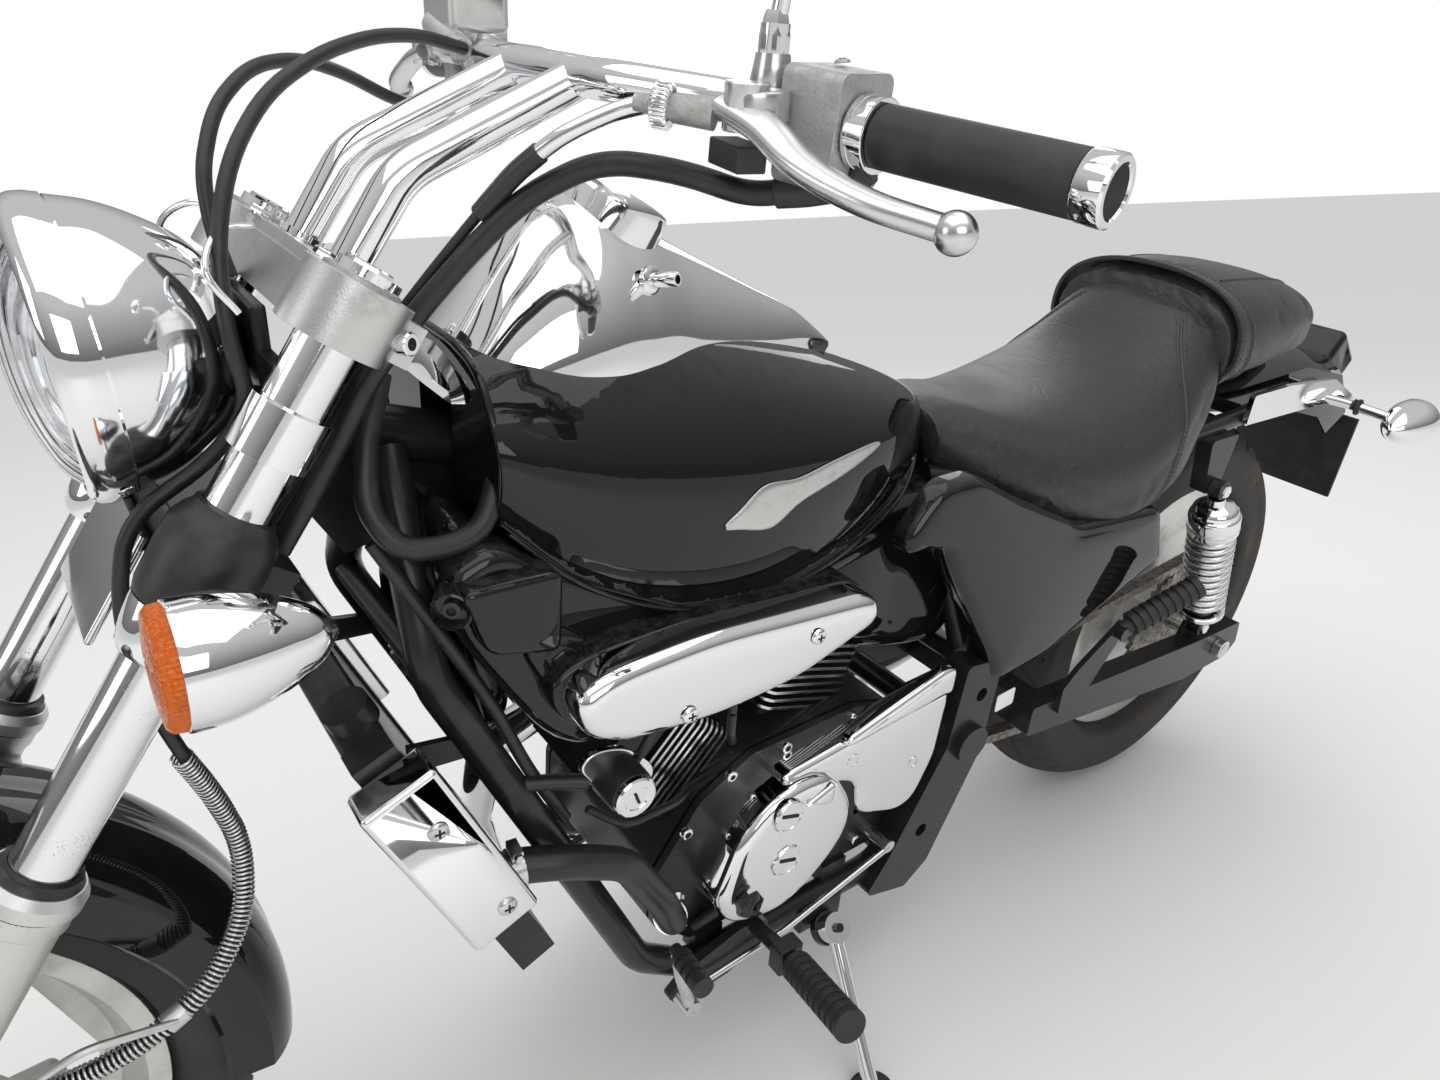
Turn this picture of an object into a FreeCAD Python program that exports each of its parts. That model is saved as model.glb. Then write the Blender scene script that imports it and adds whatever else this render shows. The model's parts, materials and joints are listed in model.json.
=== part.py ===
"""Long, low cruiser motorcycle parked on its side stand.

Every piece is drawn upright in the machine's own frame: x forward from the rear axle, y to the
left, z up from the ground.  The placement `parked` then leans the whole machine onto its stand and
puts the origin under the middle of its outline.
"""
import FreeCAD
import Part
import math
import os
from FreeCAD import Vector, Placement, Rotation

DOC = FreeCAD.newDocument("cruiser")
SHEET = DOC.addObject("Spreadsheet::Sheet", "Sizes")

# Driving sizes in millimetres and degrees: name, value, what it is.
TABLE = [
    ("wheelbase", 1600, "axle to axle"),
    ("lean", 11, "lean on the side stand"),
    ("rake", 34, "steering axis from the vertical"),
    ("fork_offset", 50.6, "fork tubes ahead of the steering axis"),
    ("front_tyre_r", 304, "front tyre outside radius"),
    ("front_tyre_w", 110, "front tyre width"),
    ("front_crown_r", 66, "front tread crown radius"),
    ("front_rim_r", 216, "front rim bead radius"),
    ("front_rim_w", 72, "front rim width"),
    ("rear_tyre_r", 310, "rear tyre outside radius"),
    ("rear_tyre_w", 150, "rear tyre width"),
    ("rear_crown_r", 90, "rear tread crown radius"),
    ("rear_rim_r", 190.5, "rear rim bead radius"),
    ("rear_rim_w", 96, "rear rim width"),
    ("bead_depth", 14, "tyre seat below the rim edge"),
    ("axle_r", 8, "wheel axle radius"),
    ("axle_gap", 0.4, "running gap round an axle"),
    ("front_hub_r", 32, "front hub radius"),
    ("front_hub_w", 96, "front hub width"),
    ("rear_hub_r", 62, "rear hub radius"),
    ("rear_hub_w", 150, "rear hub width"),
    ("disc_r", 148, "brake disc radius"),
    ("disc_t", 5, "brake disc thickness"),
    ("disc_y", 62, "brake disc plane"),
    ("chain_y", 90, "chain centre plane"),
    ("chain_w", 17, "chain width"),
    ("chain_tall", 14, "chain link height"),
    ("chain_pitch", 15.875, "chain pitch"),
    ("sprocket_r", 112, "rear sprocket pitch radius"),
    ("drive_r", 34, "engine sprocket pitch radius"),
    ("drive_x", 620, "engine sprocket ahead of the rear axle"),
    ("drive_z", 330, "engine sprocket height"),
    ("fork_half", 106, "fork tube from the centre plane"),
    ("fork_tube_r", 20.5, "fork tube radius"),
    ("slider_r", 28, "fork slider radius"),
    ("slider_top", 322, "slider top above the axle, along the fork"),
    ("lower_clamp_s", 556, "lower clamp middle above the axle"),
    ("lower_clamp_t", 34, "lower clamp thickness"),
    ("top_clamp_s", 737, "top clamp middle above the axle"),
    ("top_clamp_t", 40, "top clamp thickness"),
    ("stem_r", 14, "steering stem radius"),
    ("head_tube_r", 27, "head tube radius"),
    ("bar_r", 13.5, "handlebar tube radius"),
    ("riser_half", 48, "riser from the centre plane"),
    ("bar_half", 400, "grip's outer end from the centre plane"),
    ("grip_r", 17.5, "grip radius"),
    ("grip_long", 122, "grip length"),
    ("lamp_r", 92, "headlamp shell radius"),
    ("signal_r", 37, "front indicator radius"),
    ("down_tube_r", 15, "down tube and cradle tube radius"),
    ("back_tube_r", 21, "backbone tube radius"),
    ("rail_r", 12, "seat rail radius"),
    ("pivot_x", 535, "swing arm pivot ahead of the rear axle"),
    ("pivot_z", 347, "swing arm pivot height"),
    ("arm_y", 152, "swing arm beam centre plane"),
    ("arm_w", 28, "swing arm beam width"),
    ("arm_tall", 56, "swing arm beam height"),
    ("shock_y", 152, "shock absorber centre plane"),
    ("spring_r", 31, "shock spring outside radius"),
    ("crank_x", 790, "crankshaft ahead of the rear axle"),
    ("crank_z", 318, "crankshaft height"),
    ("front_bank", 47, "front cylinder from the vertical"),
    ("rear_bank", -18, "rear cylinder from the vertical"),
    ("fin_count", 9, "fins on a cylinder"),
    ("fin_pitch", 9, "fin spacing"),
    ("fin_t", 3.4, "fin thickness"),
    ("fin_long", 118, "fin length fore and aft"),
    ("fin_wide", 176, "fin width across"),
    ("case_half", 112, "crankcase half width"),
    ("core_t", 34, "radiator thickness"),
    ("core_long", 300, "radiator height along its slope"),
    ("core_half", 146, "radiator half width"),
    ("peg_r", 17, "rider's foot peg radius"),
    ("peg_long", 118, "rider's foot peg length"),
    ("stand_r", 9, "side stand leg radius"),
    ("fender_gap", 18, "front fender clear of the tyre"),
    ("fender_t", 4, "fender sheet thickness"),
    ("strut_y", 134, "rear fender strut's inner face"),
    ("muffler_r", 38, "muffler radius"),
    ("pipe_r", 19, "exhaust pipe radius"),
    ("hose_r", 5, "brake hose radius"),
    ("mirror_r", 58, "mirror half width"),
]


def as_text(value):
    return value.text if isinstance(value, Size) else repr(float(value))


class Size(float):
    """A number that remembers its formula in the sheet, so that a feature can be bound to it."""

    def __new__(cls, value, text):
        made = super().__new__(cls, value)
        made.text = text
        return made

    def joined(self, other, sign, value, turned=False):
        first, second = (as_text(other), self.text) if turned else (self.text, as_text(other))
        return Size(value, "(%s %s %s)" % (first, sign, second))

    def __add__(self, other):
        return self.joined(other, "+", float(self) + float(other))

    def __radd__(self, other):
        return self.joined(other, "+", float(self) + float(other), True)

    def __sub__(self, other):
        return self.joined(other, "-", float(self) - float(other))

    def __rsub__(self, other):
        return self.joined(other, "-", float(other) - float(self), True)

    def __mul__(self, other):
        return self.joined(other, "*", float(self) * float(other))

    def __rmul__(self, other):
        return self.joined(other, "*", float(self) * float(other), True)

    def __truediv__(self, other):
        return self.joined(other, "/", float(self) / float(other))

    def __neg__(self):
        return Size(-float(self), "(0 - %s)" % self.text)


class Sizes:
    """Writes the table into the sheet and hands each size back by name."""

    def __init__(self, table):
        for row, (name, value, note) in enumerate(table, start=1):
            SHEET.set("A%d" % row, note)
            SHEET.set("B%d" % row, str(value))
            SHEET.setAlias("B%d" % row, name)
        DOC.recompute()
        for name, _, _ in table:
            setattr(self, name, Size(float(getattr(SHEET, name)), "Sizes." + name))


s = Sizes(TABLE)
X, Y, Z = Vector(1, 0, 0), Vector(0, 1, 0), Vector(0, 0, 1)
RAKE = math.radians(s.rake)
UP = Vector(-math.sin(RAKE), 0, math.cos(RAKE))          # along the steering axis, upwards
AHEAD = Vector(math.cos(RAKE), 0, math.sin(RAKE))        # square to it, forwards
LEAN = math.radians(s.lean)
LIFT = s.rear_crown_r * (1 - math.cos(LEAN))
"""How far the leaned rear tyre would sink, so the parked machine is raised by it."""


def standing_height(tyre_r, crown_r):
    """Height of an axle whose tyre just meets the floor when the machine is leaned."""
    return ((tyre_r - crown_r) * math.cos(LEAN) + crown_r - LIFT) / math.cos(LEAN)


FRONT_AXLE = Vector(s.wheelbase, 0, standing_height(float(s.front_tyre_r), float(s.front_crown_r)))
REAR_AXLE = Vector(0, 0, s.rear_tyre_r)
SIDES = (1, -1)
SEAT_GAP = 0.3
"""Clearance at which one piece seats on another."""

PIECES = {}


# Pieces measured on the machine as drawn, carried along when a wheel changes

DRAWN_FRONT_AXLE = Vector(1600, 0, 303.55)
DRAWN_REAR_R = 310.0


def front(x, y, z):
    """A measured point ahead of the tank, carried along with the front axle."""
    return Vector(x, y, z) + FRONT_AXLE - DRAWN_FRONT_AXLE


def over_tyre(x, z):
    """Height of a measured point over the rear tyre, which lifts it as it grows."""
    share = min(max((450 - x) / 300, 0), 1)
    return z + share * 2 * (float(s.rear_tyre_r) - DRAWN_REAR_R)


# Plain solids

def tube(start, end, radius, bore=0.0):
    """A round bar, or a tube if it has a bore."""
    way = end - start
    bar = Part.makeCylinder(radius, way.Length, start, way)
    if bore:
        bar = bar.cut(Part.makeCylinder(bore, way.Length, start, way))
    return bar


def path(points, bend):
    """Straight runs joined by tangent arcs."""
    edges, last = [], points[0]
    for before, corner, after in zip(points, points[1:], points[2:]):
        a, b = (before - corner).normalize(), (after - corner).normalize()
        half = a.getAngle(b) / 2
        cut = bend / math.tan(half)
        cut = min(cut, 0.45 * (before - corner).Length, 0.45 * (after - corner).Length)
        radius = cut * math.tan(half)
        middle = corner + (a + b).normalize() * (radius / math.sin(half) - radius)
        into, out = corner + a * cut, corner + b * cut
        if (into - last).Length > 1e-3:
            edges.append(Part.LineSegment(last, into).toShape())
        edges.append(Part.Arc(into, middle, out).toShape())
        last = out
    edges.append(Part.LineSegment(last, points[-1]).toShape())
    return Part.Wire(edges)


def bent_tube(points, radius, bend):
    """A round tube along straight runs with arcs at the corners."""
    points = [Vector(*p) for p in points]
    if len(points) == 2:
        return tube(points[0], points[1], radius)
    spine = path(points, bend)
    way = points[1] - points[0]
    ring = Part.Wire(Part.makeCircle(radius, points[0], way))
    return spine.makePipeShell([ring], True, True)


def mirrored(solid):
    """The same piece on the right-hand side."""
    return solid.mirror(Vector(0, 0, 0), Y)


def both(solid):
    return Part.makeCompound([solid, mirrored(solid)])


def fused(solids):
    """One solid from several that overlap."""
    first, rest = solids[0], solids[1:]
    return first.multiFuse(rest).removeSplitter() if rest else first


def closed_outline(points, round_r):
    """A closed wire with each corner rounded, as far as its two sides allow."""
    if not round_r:
        return Part.makePolygon(points + points[:1])
    edges, stops, count = [], [], len(points)
    for n, corner in enumerate(points):
        a, b = points[n - 1] - corner, points[(n + 1) % count] - corner
        room = 0.45 * min(a.Length, b.Length)
        a.normalize()
        b.normalize()
        half = a.getAngle(b) / 2
        cut = min(round_r / math.tan(half), room)
        radius = cut * math.tan(half)
        middle = corner + (a + b).normalize() * (radius / math.sin(half) - radius)
        stops.append((corner + a * cut, middle, corner + b * cut))
    for n, (into, middle, out) in enumerate(stops):
        edges.append(Part.Arc(into, middle, out).toShape())
        edges.append(Part.LineSegment(out, stops[(n + 1) % count][0]).toShape())
    return Part.Wire(edges)


def plate(outline, y_low, y_high, round_r=0.0):
    """A flat plate from a side-view outline of (x, z) points, between two planes of y."""
    wire = closed_outline([Vector(x, y_low, z) for x, z in outline], round_r)
    return Part.Face(wire).extrude(Vector(0, y_high - y_low, 0))


def block(middle, size, turn=0.0, round_r=0.0):
    """A box by its middle and size, turned about y by an angle in degrees."""
    box = Part.makeBox(size[0], size[1], size[2], Vector(-size[0] / 2, -size[1] / 2, -size[2] / 2))
    if round_r:
        box = box.makeFillet(round_r, box.Edges)
    box.Placement = Placement(Vector(*middle), Rotation(Y, turn))
    return box


def turned(profile, origin, axis):
    """A revolved solid from (distance along the axis, radius) points, closed on the axis."""
    points = [Vector(r, 0, a) for a, r in profile]
    if points[0].x > 0:
        points.insert(0, Vector(0, 0, points[0].z))
    if points[-1].x > 0:
        points.append(Vector(0, 0, points[-1].z))
    solid = Part.Face(Part.makePolygon(points + points[:1])).revolve(Vector(0, 0, 0), Z, 360)
    solid.Placement = Placement(origin, Rotation(Z, axis or Z))
    return solid


def barrel(x, half, low, high, shoulder=0.62, foot=0.8, widest=0.42):
    """A cross-section of a tank, seat or cowl: flat below, round at the sides and crowned."""
    waist, brow = low + (high - low) * widest, low + (high - low) * 0.84
    p = [Vector(x, half * foot, low), Vector(x, half, waist), Vector(x, half * shoulder, brow),
         Vector(x, 0, high)]
    q = [Vector(v.x, -v.y, v.z) for v in p]
    return Part.Wire([Part.LineSegment(q[0], p[0]).toShape(), Part.Arc(p[0], p[1], p[2]).toShape(),
                      Part.Arc(p[2], p[3], q[2]).toShape(), Part.Arc(q[2], q[1], q[0]).toShape()])


def lofted(sections, ruled=False):
    return Part.makeLoft(sections, True, ruled)


# Document objects

def bind(thing, **properties):
    """Sets properties and ties those that come from the sheet to their cells."""
    for name, value in properties.items():
        setattr(thing, name, float(value))
        if isinstance(value, Size):
            thing.setExpression(name, value.text)
    return thing


def piece(name, shape):
    """A sub-part whose shape is worked out by Part's own functions."""
    made = DOC.addObject("Part::Feature", name)
    made.Label = name
    made.Shape = shape
    PIECES[name] = made
    return made


def keep(name, made):
    """A sub-part that is a body or a tree of Part features."""
    made.Label = name
    PIECES[name] = made
    return made


def sketch(body, plane_role, loops, name):
    """A sketch of closed polygons whose corners are tied to the sheet."""
    drawn = body.newObject("Sketcher::SketchObject", name)
    plane = [f for f in body.Origin.OriginFeatures if f.Role == plane_role][0]
    drawn.AttachmentSupport = (plane, [""])
    drawn.MapMode = "FlatFace"
    import Sketcher
    for loop in loops:
        count, first = len(loop), drawn.GeometryCount
        for n in range(count):
            a, b = loop[n], loop[(n + 1) % count]
            drawn.addGeometry(Part.LineSegment(Vector(a[0], a[1], 0), Vector(b[0], b[1], 0)), False)
        for n in range(count):
            drawn.addConstraint(Sketcher.Constraint(
                "Coincident", first + n, 2, first + (n + 1) % count, 1))
        for n, corner in enumerate(loop):
            for kind, value in zip(("DistanceX", "DistanceY"), corner):
                here = drawn.addConstraint(Sketcher.Constraint(
                    kind, -1, 1, first + n, 1, float(value)))
                if isinstance(value, Size):
                    drawn.setExpression("Constraints[%d]" % here, value.text)
    return drawn


def revolved_body(name, loop, middle):
    """A body turned about the wheel's axle from (radius, width) corners."""
    body = DOC.addObject("PartDesign::Body", name)
    drawn = sketch(body, "XY_Plane", [loop], name + "_profile")
    turn = body.newObject("PartDesign::Revolution", name + "_turn")
    turn.Profile = drawn
    turn.ReferenceAxis = (drawn, ["V_Axis"])
    turn.Angle = 360
    body.Tip = turn
    body.Placement = Placement(middle, Rotation())
    return body


# The fork's own frame: x ahead, y across, z up along the fork, from the front axle

FORK = Placement(FRONT_AXLE, Rotation(Y, -float(s.rake)))
STEM_X = -s.fork_offset
"""The steering axis behind the fork tubes, in the fork's frame."""
LOW_CLAMP_TOP = s.lower_clamp_s + s.lower_clamp_t / 2
TOP_CLAMP_BASE = s.top_clamp_s - s.top_clamp_t / 2
TOP_CLAMP_TOP = s.top_clamp_s + s.top_clamp_t / 2


def in_fork(name, shape):
    """A sub-part drawn in the fork's frame."""
    made = piece(name, shape)
    made.Placement = FORK
    return made


def cup(radius, low, high, ahead=0.0, across=0.0, bore=0.0):
    """A round boss along the fork."""
    return tube(Vector(ahead, across, low), Vector(ahead, across, high), radius, bore)


# Wheels

def tyre_loop(outer_r, width, crown_r, bead_r, rim_w):
    """Half profiles (radius, y): beads, walls and a tread crown with an edge at the lean angle."""
    bead, wall = rim_w / 2 - FLANGE_T - SEAT_GAP, bead_r + (outer_r - bead_r) * 0.45
    side = [(bead_r + SEAT_GAP, bead), (bead_r + FLANGE_TALL + SEAT_GAP, bead), (wall, width / 2)]
    steps = int(55 // s.lean)
    tread = []
    for n in range(-steps, steps + 1):
        turn = n * LEAN
        tread.append((outer_r - crown_r * (1 - math.cos(turn)), crown_r * math.sin(turn)))
    return [(r, -y) for r, y in side] + tread + side[::-1]


FLANGE_T, FLANGE_TALL = 6.0, 12.0


def rim_side(bead_r, rim_w, skin):
    """One side of a rim, from its lip down into the well and back along the inside."""
    half = rim_w / 2
    outside = [(bead_r - s.bead_depth, half * 0.35), (bead_r, half * 0.55), (bead_r, half - FLANGE_T),
               (bead_r + FLANGE_TALL, half - FLANGE_T), (bead_r + FLANGE_TALL, half)]
    inside = [(bead_r - skin, half), (bead_r - s.bead_depth - skin, half * 0.4)]
    return outside, inside


def front_wheel():
    """Cast wheel: rim, web with five windows between wide flat arms, and hub."""
    outside, inside = rim_side(s.front_rim_r, s.front_rim_w, 5)
    web, hub_half = 8.0, s.front_hub_w / 2
    bore = s.axle_r + s.axle_gap
    half = outside + inside + [(s.front_rim_r - s.bead_depth - 6, web), (s.front_hub_r + 22, web),
                               (s.front_hub_r, web + 14), (s.front_hub_r, hub_half),
                               (bore, hub_half)]
    loop = half + [(r, -y) for r, y in half[::-1]]
    body = revolved_body("front_wheel", loop, FRONT_AXLE)
    near, far = s.front_hub_r + 30, s.front_rim_r - s.bead_depth - 14
    window = sketch(body, "XZ_Plane", [[(-22, near), (22, near), (92, far * 0.82), (58, far * 0.94),
                                        (-58, far * 0.94), (-92, far * 0.82)]], "window_outline")
    cut = body.newObject("PartDesign::Pocket", "window")
    cut.Profile = window
    cut.SideType = "Symmetric"
    cut.Length = 60
    ring = body.newObject("PartDesign::PolarPattern", "windows")
    ring.Originals = [cut]
    ring.Axis = ([f for f in body.Origin.OriginFeatures if f.Role == "Y_Axis"][0], [""])
    ring.Angle = 360
    ring.Occurrences = 5
    body.Tip = ring
    keep("front_wheel", body)


def front_tyre():
    loop = tyre_loop(s.front_tyre_r, s.front_tyre_w, s.front_crown_r, s.front_rim_r, s.front_rim_w)
    keep("front_tyre", revolved_body("front_tyre", loop, FRONT_AXLE))


def brake_disc():
    """Disc on its carrier against the left face of the hub, drilled in a ring."""
    low, high = s.disc_y - s.disc_t / 2, s.disc_y + s.disc_t / 2
    face = s.front_hub_w / 2 + SEAT_GAP
    bore = s.axle_r + s.axle_gap
    loop = [(bore, face), (s.front_hub_r, face), (s.front_hub_r, low), (s.disc_r, low),
            (s.disc_r, high), (bore, high)]
    body = revolved_body("brake_disc", loop, FRONT_AXLE)
    hole = sketch(body, "XZ_Plane", [[(-9, s.disc_r - 36), (9, s.disc_r - 36), (5, s.disc_r - 16),
                                      (-5, s.disc_r - 16)]], "disc_slot")
    cut = body.newObject("PartDesign::Pocket", "disc_cut")
    cut.Profile = hole
    cut.SideType = "Symmetric"
    cut.Length = 180
    ring = body.newObject("PartDesign::PolarPattern", "disc_cuts")
    ring.Originals = [cut]
    ring.Axis = ([f for f in body.Origin.OriginFeatures if f.Role == "Y_Axis"][0], [""])
    ring.Angle = 360
    ring.Occurrences = 10
    body.Tip = ring
    keep("brake_disc", body)


def rear_wheel():
    """Dished wheel: one turned plate from hub to rim, with the drum on its right."""
    outside, inside = rim_side(s.rear_rim_r, s.rear_rim_w, 5)
    left = outside + inside[:1] + [(s.rear_rim_r - 16, s.rear_rim_w / 2 + 3), (s.rear_hub_r + 40, 30),
                                   (s.rear_hub_r, 34), (s.rear_hub_r, s.rear_hub_w / 2),
                                   (s.axle_r + s.axle_gap, s.rear_hub_w / 2)]
    right = outside + inside + [(s.rear_hub_r + 44, 14), (s.rear_hub_r + 28, 26),
                                (s.rear_hub_r + 28, s.rear_hub_w / 2 - 12),
                                (s.rear_hub_r, s.rear_hub_w / 2), (s.axle_r + s.axle_gap,
                                                                  s.rear_hub_w / 2)]
    loop = left + [(r, -y) for r, y in right[::-1]]
    keep("rear_wheel", revolved_body("rear_wheel", loop, REAR_AXLE))


def rear_tyre():
    loop = tyre_loop(s.rear_tyre_r, s.rear_tyre_w, s.rear_crown_r, s.rear_rim_r, s.rear_rim_w)
    keep("rear_tyre", revolved_body("rear_tyre", loop, REAR_AXLE))


def rear_sprocket():
    """Toothed ring on its carrier, running just inside the chain."""
    outer, inner, half = CHAIN_INNER - 2 * SEAT_GAP, CHAIN_INNER - 7.0, 3.5
    teeth = 42
    corners = []
    for n in range(4 * teeth):
        radius = outer if n % 4 < 2 else inner
        turn = 2 * math.pi * (n + (0.25 if n % 2 else 0.0)) / (4 * teeth)
        corners.append((radius * math.cos(turn), radius * math.sin(turn)))
    ring = plate(corners, s.chain_y - half, s.chain_y + half)
    carrier = tube(Y * (float(s.rear_hub_w) / 2 + SEAT_GAP), Y * (float(s.chain_y) + half), 58)
    bore = tube(Y * 60, Y * 120, s.axle_r + s.axle_gap)
    made = piece("rear_sprocket", fused([ring, carrier]).cut(bore))
    made.Placement = Placement(REAR_AXLE, Rotation())


CHAIN_INNER = float(s.sprocket_r - s.chain_tall / 2)


# Final drive

def chain_outline(offset):
    """Points along the belt round both sprockets, scalloped so that each link shows its waist."""
    far = Vector(s.drive_x, 0, s.drive_z) - REAR_AXLE
    r1, r2 = float(s.sprocket_r), float(s.drive_r)
    base = math.atan2(far.z, far.x)
    spread = math.acos((r1 - r2) / far.Length)
    runs = [("arc", Vector(0, 0, 0), r1, base + spread, base + 2 * math.pi - spread),
            ("line", r1, base - spread), ("arc", far, r2, base - spread, base + spread),
            ("line", r2, base + spread)]
    reach = far.Length * math.sin(spread)
    along = Vector(far).normalize()
    points = []
    step = float(s.chain_pitch) / 2
    for run in runs:
        if run[0] == "arc":
            _, middle, radius, start, end = run
            count = max(2, int(round(abs(end - start) * radius / step)))
            for n in range(count):
                turn = start + (end - start) * n / count
                out = Vector(math.cos(turn), 0, math.sin(turn))
                points.append((middle + out * radius, out))
        else:
            _, radius, turn = run
            out = Vector(math.cos(turn), 0, math.sin(turn))
            way = Vector(-out.z, 0, out.x)
            start = out * radius if radius == r1 else far + out * radius
            count = int(round(reach / step))
            points += [(start + way * (reach * n / count), out) for n in range(count)]
    if len(points) % 2:
        points.pop()
    corners = []
    for n, (at, out) in enumerate(points):
        waist = 1.4 if n % 2 else 0.0
        here = REAR_AXLE + at + out * (offset - math.copysign(waist, offset))
        corners.append((here.x, here.z))
    return corners


def drive_chain():
    low, high = s.chain_y - s.chain_w / 2, s.chain_y + s.chain_w / 2
    outer = plate(chain_outline(float(s.chain_tall) / 2), low, high)
    piece("drive_chain", outer.cut(plate(chain_outline(-float(s.chain_tall) / 2), low - 5, high + 5)))


# Fork, clamps and steering

def front_axle():
    """Spindle through both sliders, bored right through."""
    reach = float(s.fork_half) + 36
    spindle = DOC.addObject("Part::Cylinder", "spindle")
    bind(spindle, Radius=s.axle_r, Height=2 * reach)
    spindle.Placement = Placement(Vector(0, -reach, 0), Rotation(X, -90))
    bore = DOC.addObject("Part::Cylinder", "spindle_bore")
    bind(bore, Radius=s.axle_r - 3, Height=2 * reach + 20)
    bore.Placement = Placement(Vector(0, -reach - 10, 0), Rotation(X, -90))
    made = DOC.addObject("Part::Cut", "front_axle")
    made.Base, made.Tool = spindle, bore
    made.Placement = Placement(FRONT_AXLE, Rotation())
    keep("front_axle", made)


def hose_clip():
    """Wire from the caliper lug to a collar round the brake hose."""
    into_fork = FORK.inverse()
    collar_at = (Vector(*BRAKE_HOSE[17]) + Vector(*BRAKE_HOSE[18])) * 0.5
    way = (Vector(*BRAKE_HOSE[18]) - Vector(*BRAKE_HOSE[17])).normalize()
    collar = tube(collar_at - way * 7, collar_at + way * 7, s.hose_r + 3.5, s.hose_r + 1.2)
    rim = s.hose_r + 2.5
    wire = bent_tube([(1502, 100, 348), (1478, 104, 398), (1420, 118, 432),
                      (collar_at.x, collar_at.y + rim, collar_at.z + 2)], 3, 30)
    clip = fused([collar, wire])
    clip.Placement = into_fork
    return clip


def slider(side):
    """Cast lower leg: tube, axle lug and the lug behind it that carries the caliper or mudguard."""
    y = side * float(s.fork_half)
    r = float(s.slider_r)
    leg = turned([(-30, 19), (-24, 24), (30, 25), (70, r - 2), (s.slider_top - 16, r),
                  (s.slider_top - 14, r + 2), (s.slider_top, r + 2), (s.slider_top, r + 4),
                  (s.slider_top + 9, r + 4), (s.slider_top + 15, r)], Vector(0, y, 0), Z)
    lug = tube(Vector(0, y - 26, 0), Vector(0, y + 26, 0), 22)
    pad = block((-6, side * (s.fork_half - r + 8.3), FENDER_PAD_S), (34, 16, 52))
    parts = [leg, lug, pad]
    if side > 0:
        parts.append(block((-44, float(s.fork_half) - 10, 62), (80, 14, 80), round_r=5))
        parts.append(hose_clip())
    bores = cup(s.fork_tube_r + SEAT_GAP, TUBE_FOOT - SEAT_GAP, 400, 0, y)
    spindle = tube(Vector(0, y - 40, 0), Vector(0, y + 40, 0), s.axle_r + SEAT_GAP)
    return fused(parts).cut(bores).cut(spindle)


FENDER_PAD_S = 274.0
"""Front fender's pads above the axle along the fork."""
TUBE_FOOT = 190.0
"""Lower end of the fork tubes, inside the sliders."""


def fork():
    in_fork("fork_sliders", Part.makeCompound([slider(side) for side in SIDES]))
    tubes = []
    for side in SIDES:
        y = side * float(s.fork_half)
        shaft = cup(s.fork_tube_r, TUBE_FOOT, TOP_CLAMP_TOP + 1, 0, y)
        cap = cup(s.fork_tube_r - 2, TOP_CLAMP_TOP, TOP_CLAMP_TOP + 9, 0, y)
        tubes.append(fused([shaft, cap]))
    in_fork("fork_tubes", Part.makeCompound(tubes))


def clamp_bores(low, high):
    return [cup(s.fork_tube_r + SEAT_GAP, low - 12, high + 12, 0, side * float(s.fork_half))
            for side in SIDES]


CLAMP_FACE = 18.0
"""Front face of the lower clamp's bridge."""


def clamps():
    """Lower clamp with the stem pressed in, and the machined top clamp."""
    low, high = s.lower_clamp_s - s.lower_clamp_t / 2, LOW_CLAMP_TOP
    bosses = [cup(s.fork_tube_r + 11, low - 6, high + 8, 0, side * float(s.fork_half))
              for side in SIDES]
    bridge = block((CLAMP_FACE - 37, 0, s.lower_clamp_s), (74, 2 * s.fork_half, s.lower_clamp_t))
    hub = cup(34, low, high, STEM_X)
    stem = cup(s.stem_r, low, TOP_CLAMP_TOP + 6, STEM_X)
    nut = cup(19, TOP_CLAMP_TOP - 6 + SEAT_GAP, TOP_CLAMP_TOP + 6, STEM_X)
    lower = fused(bosses + [bridge, hub, stem, nut])
    for bore in clamp_bores(low, high + 8):
        lower = lower.cut(bore)
    in_fork("lower_clamp", Part.makeCompound([lower, fork_cover()]))

    bosses = [cup(s.fork_tube_r + 14, TOP_CLAMP_BASE, TOP_CLAMP_TOP, 0, side * float(s.fork_half))
              for side in SIDES]
    bridge = block((-7, 0, s.top_clamp_s - 4), (58, 2 * s.fork_half - 10, s.top_clamp_t - 8))
    spine = block((-32, 0, s.top_clamp_s - 4), (40, 50, s.top_clamp_t - 8))
    shelf = block((-8, 0, s.top_clamp_s + 4), (44, 2 * s.riser_half + 56, s.top_clamp_t - 8))
    rear = cup(26, TOP_CLAMP_BASE, TOP_CLAMP_TOP - 6, STEM_X)
    pinch = [block((-33, side * (s.fork_half + 4), s.top_clamp_s), (22, 22, s.top_clamp_t - 12))
             for side in SIDES]
    top = fused(bosses + [bridge, spine, shelf, rear] + pinch)
    for bore in clamp_bores(TOP_CLAMP_BASE, TOP_CLAMP_TOP):
        top = top.cut(bore)
    top = top.cut(cup(s.stem_r + SEAT_GAP, TOP_CLAMP_BASE - 40, TOP_CLAMP_TOP + 40, STEM_X))
    in_fork("top_clamp", top)


# Handlebar: left half of the route, from the middle out to the grip's end
BAR = [front(1000, 0, 1040), front(1000, 95, 1043), front(958, 170, 1038.5),
       front(913, float(s.bar_half), 1024)]
RISER = [front(1127, 0, 983), BAR[0]]
"""Riser above its foot: it climbs square to the clamp and bends back to the bar."""
BAR_END = BAR[-1]
BAR_WAY = (BAR_END - BAR[-2]).normalize()


def on_bar(back):
    """A point on the grip's axis, measured back from its outer end."""
    return BAR_END - BAR_WAY * back


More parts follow.
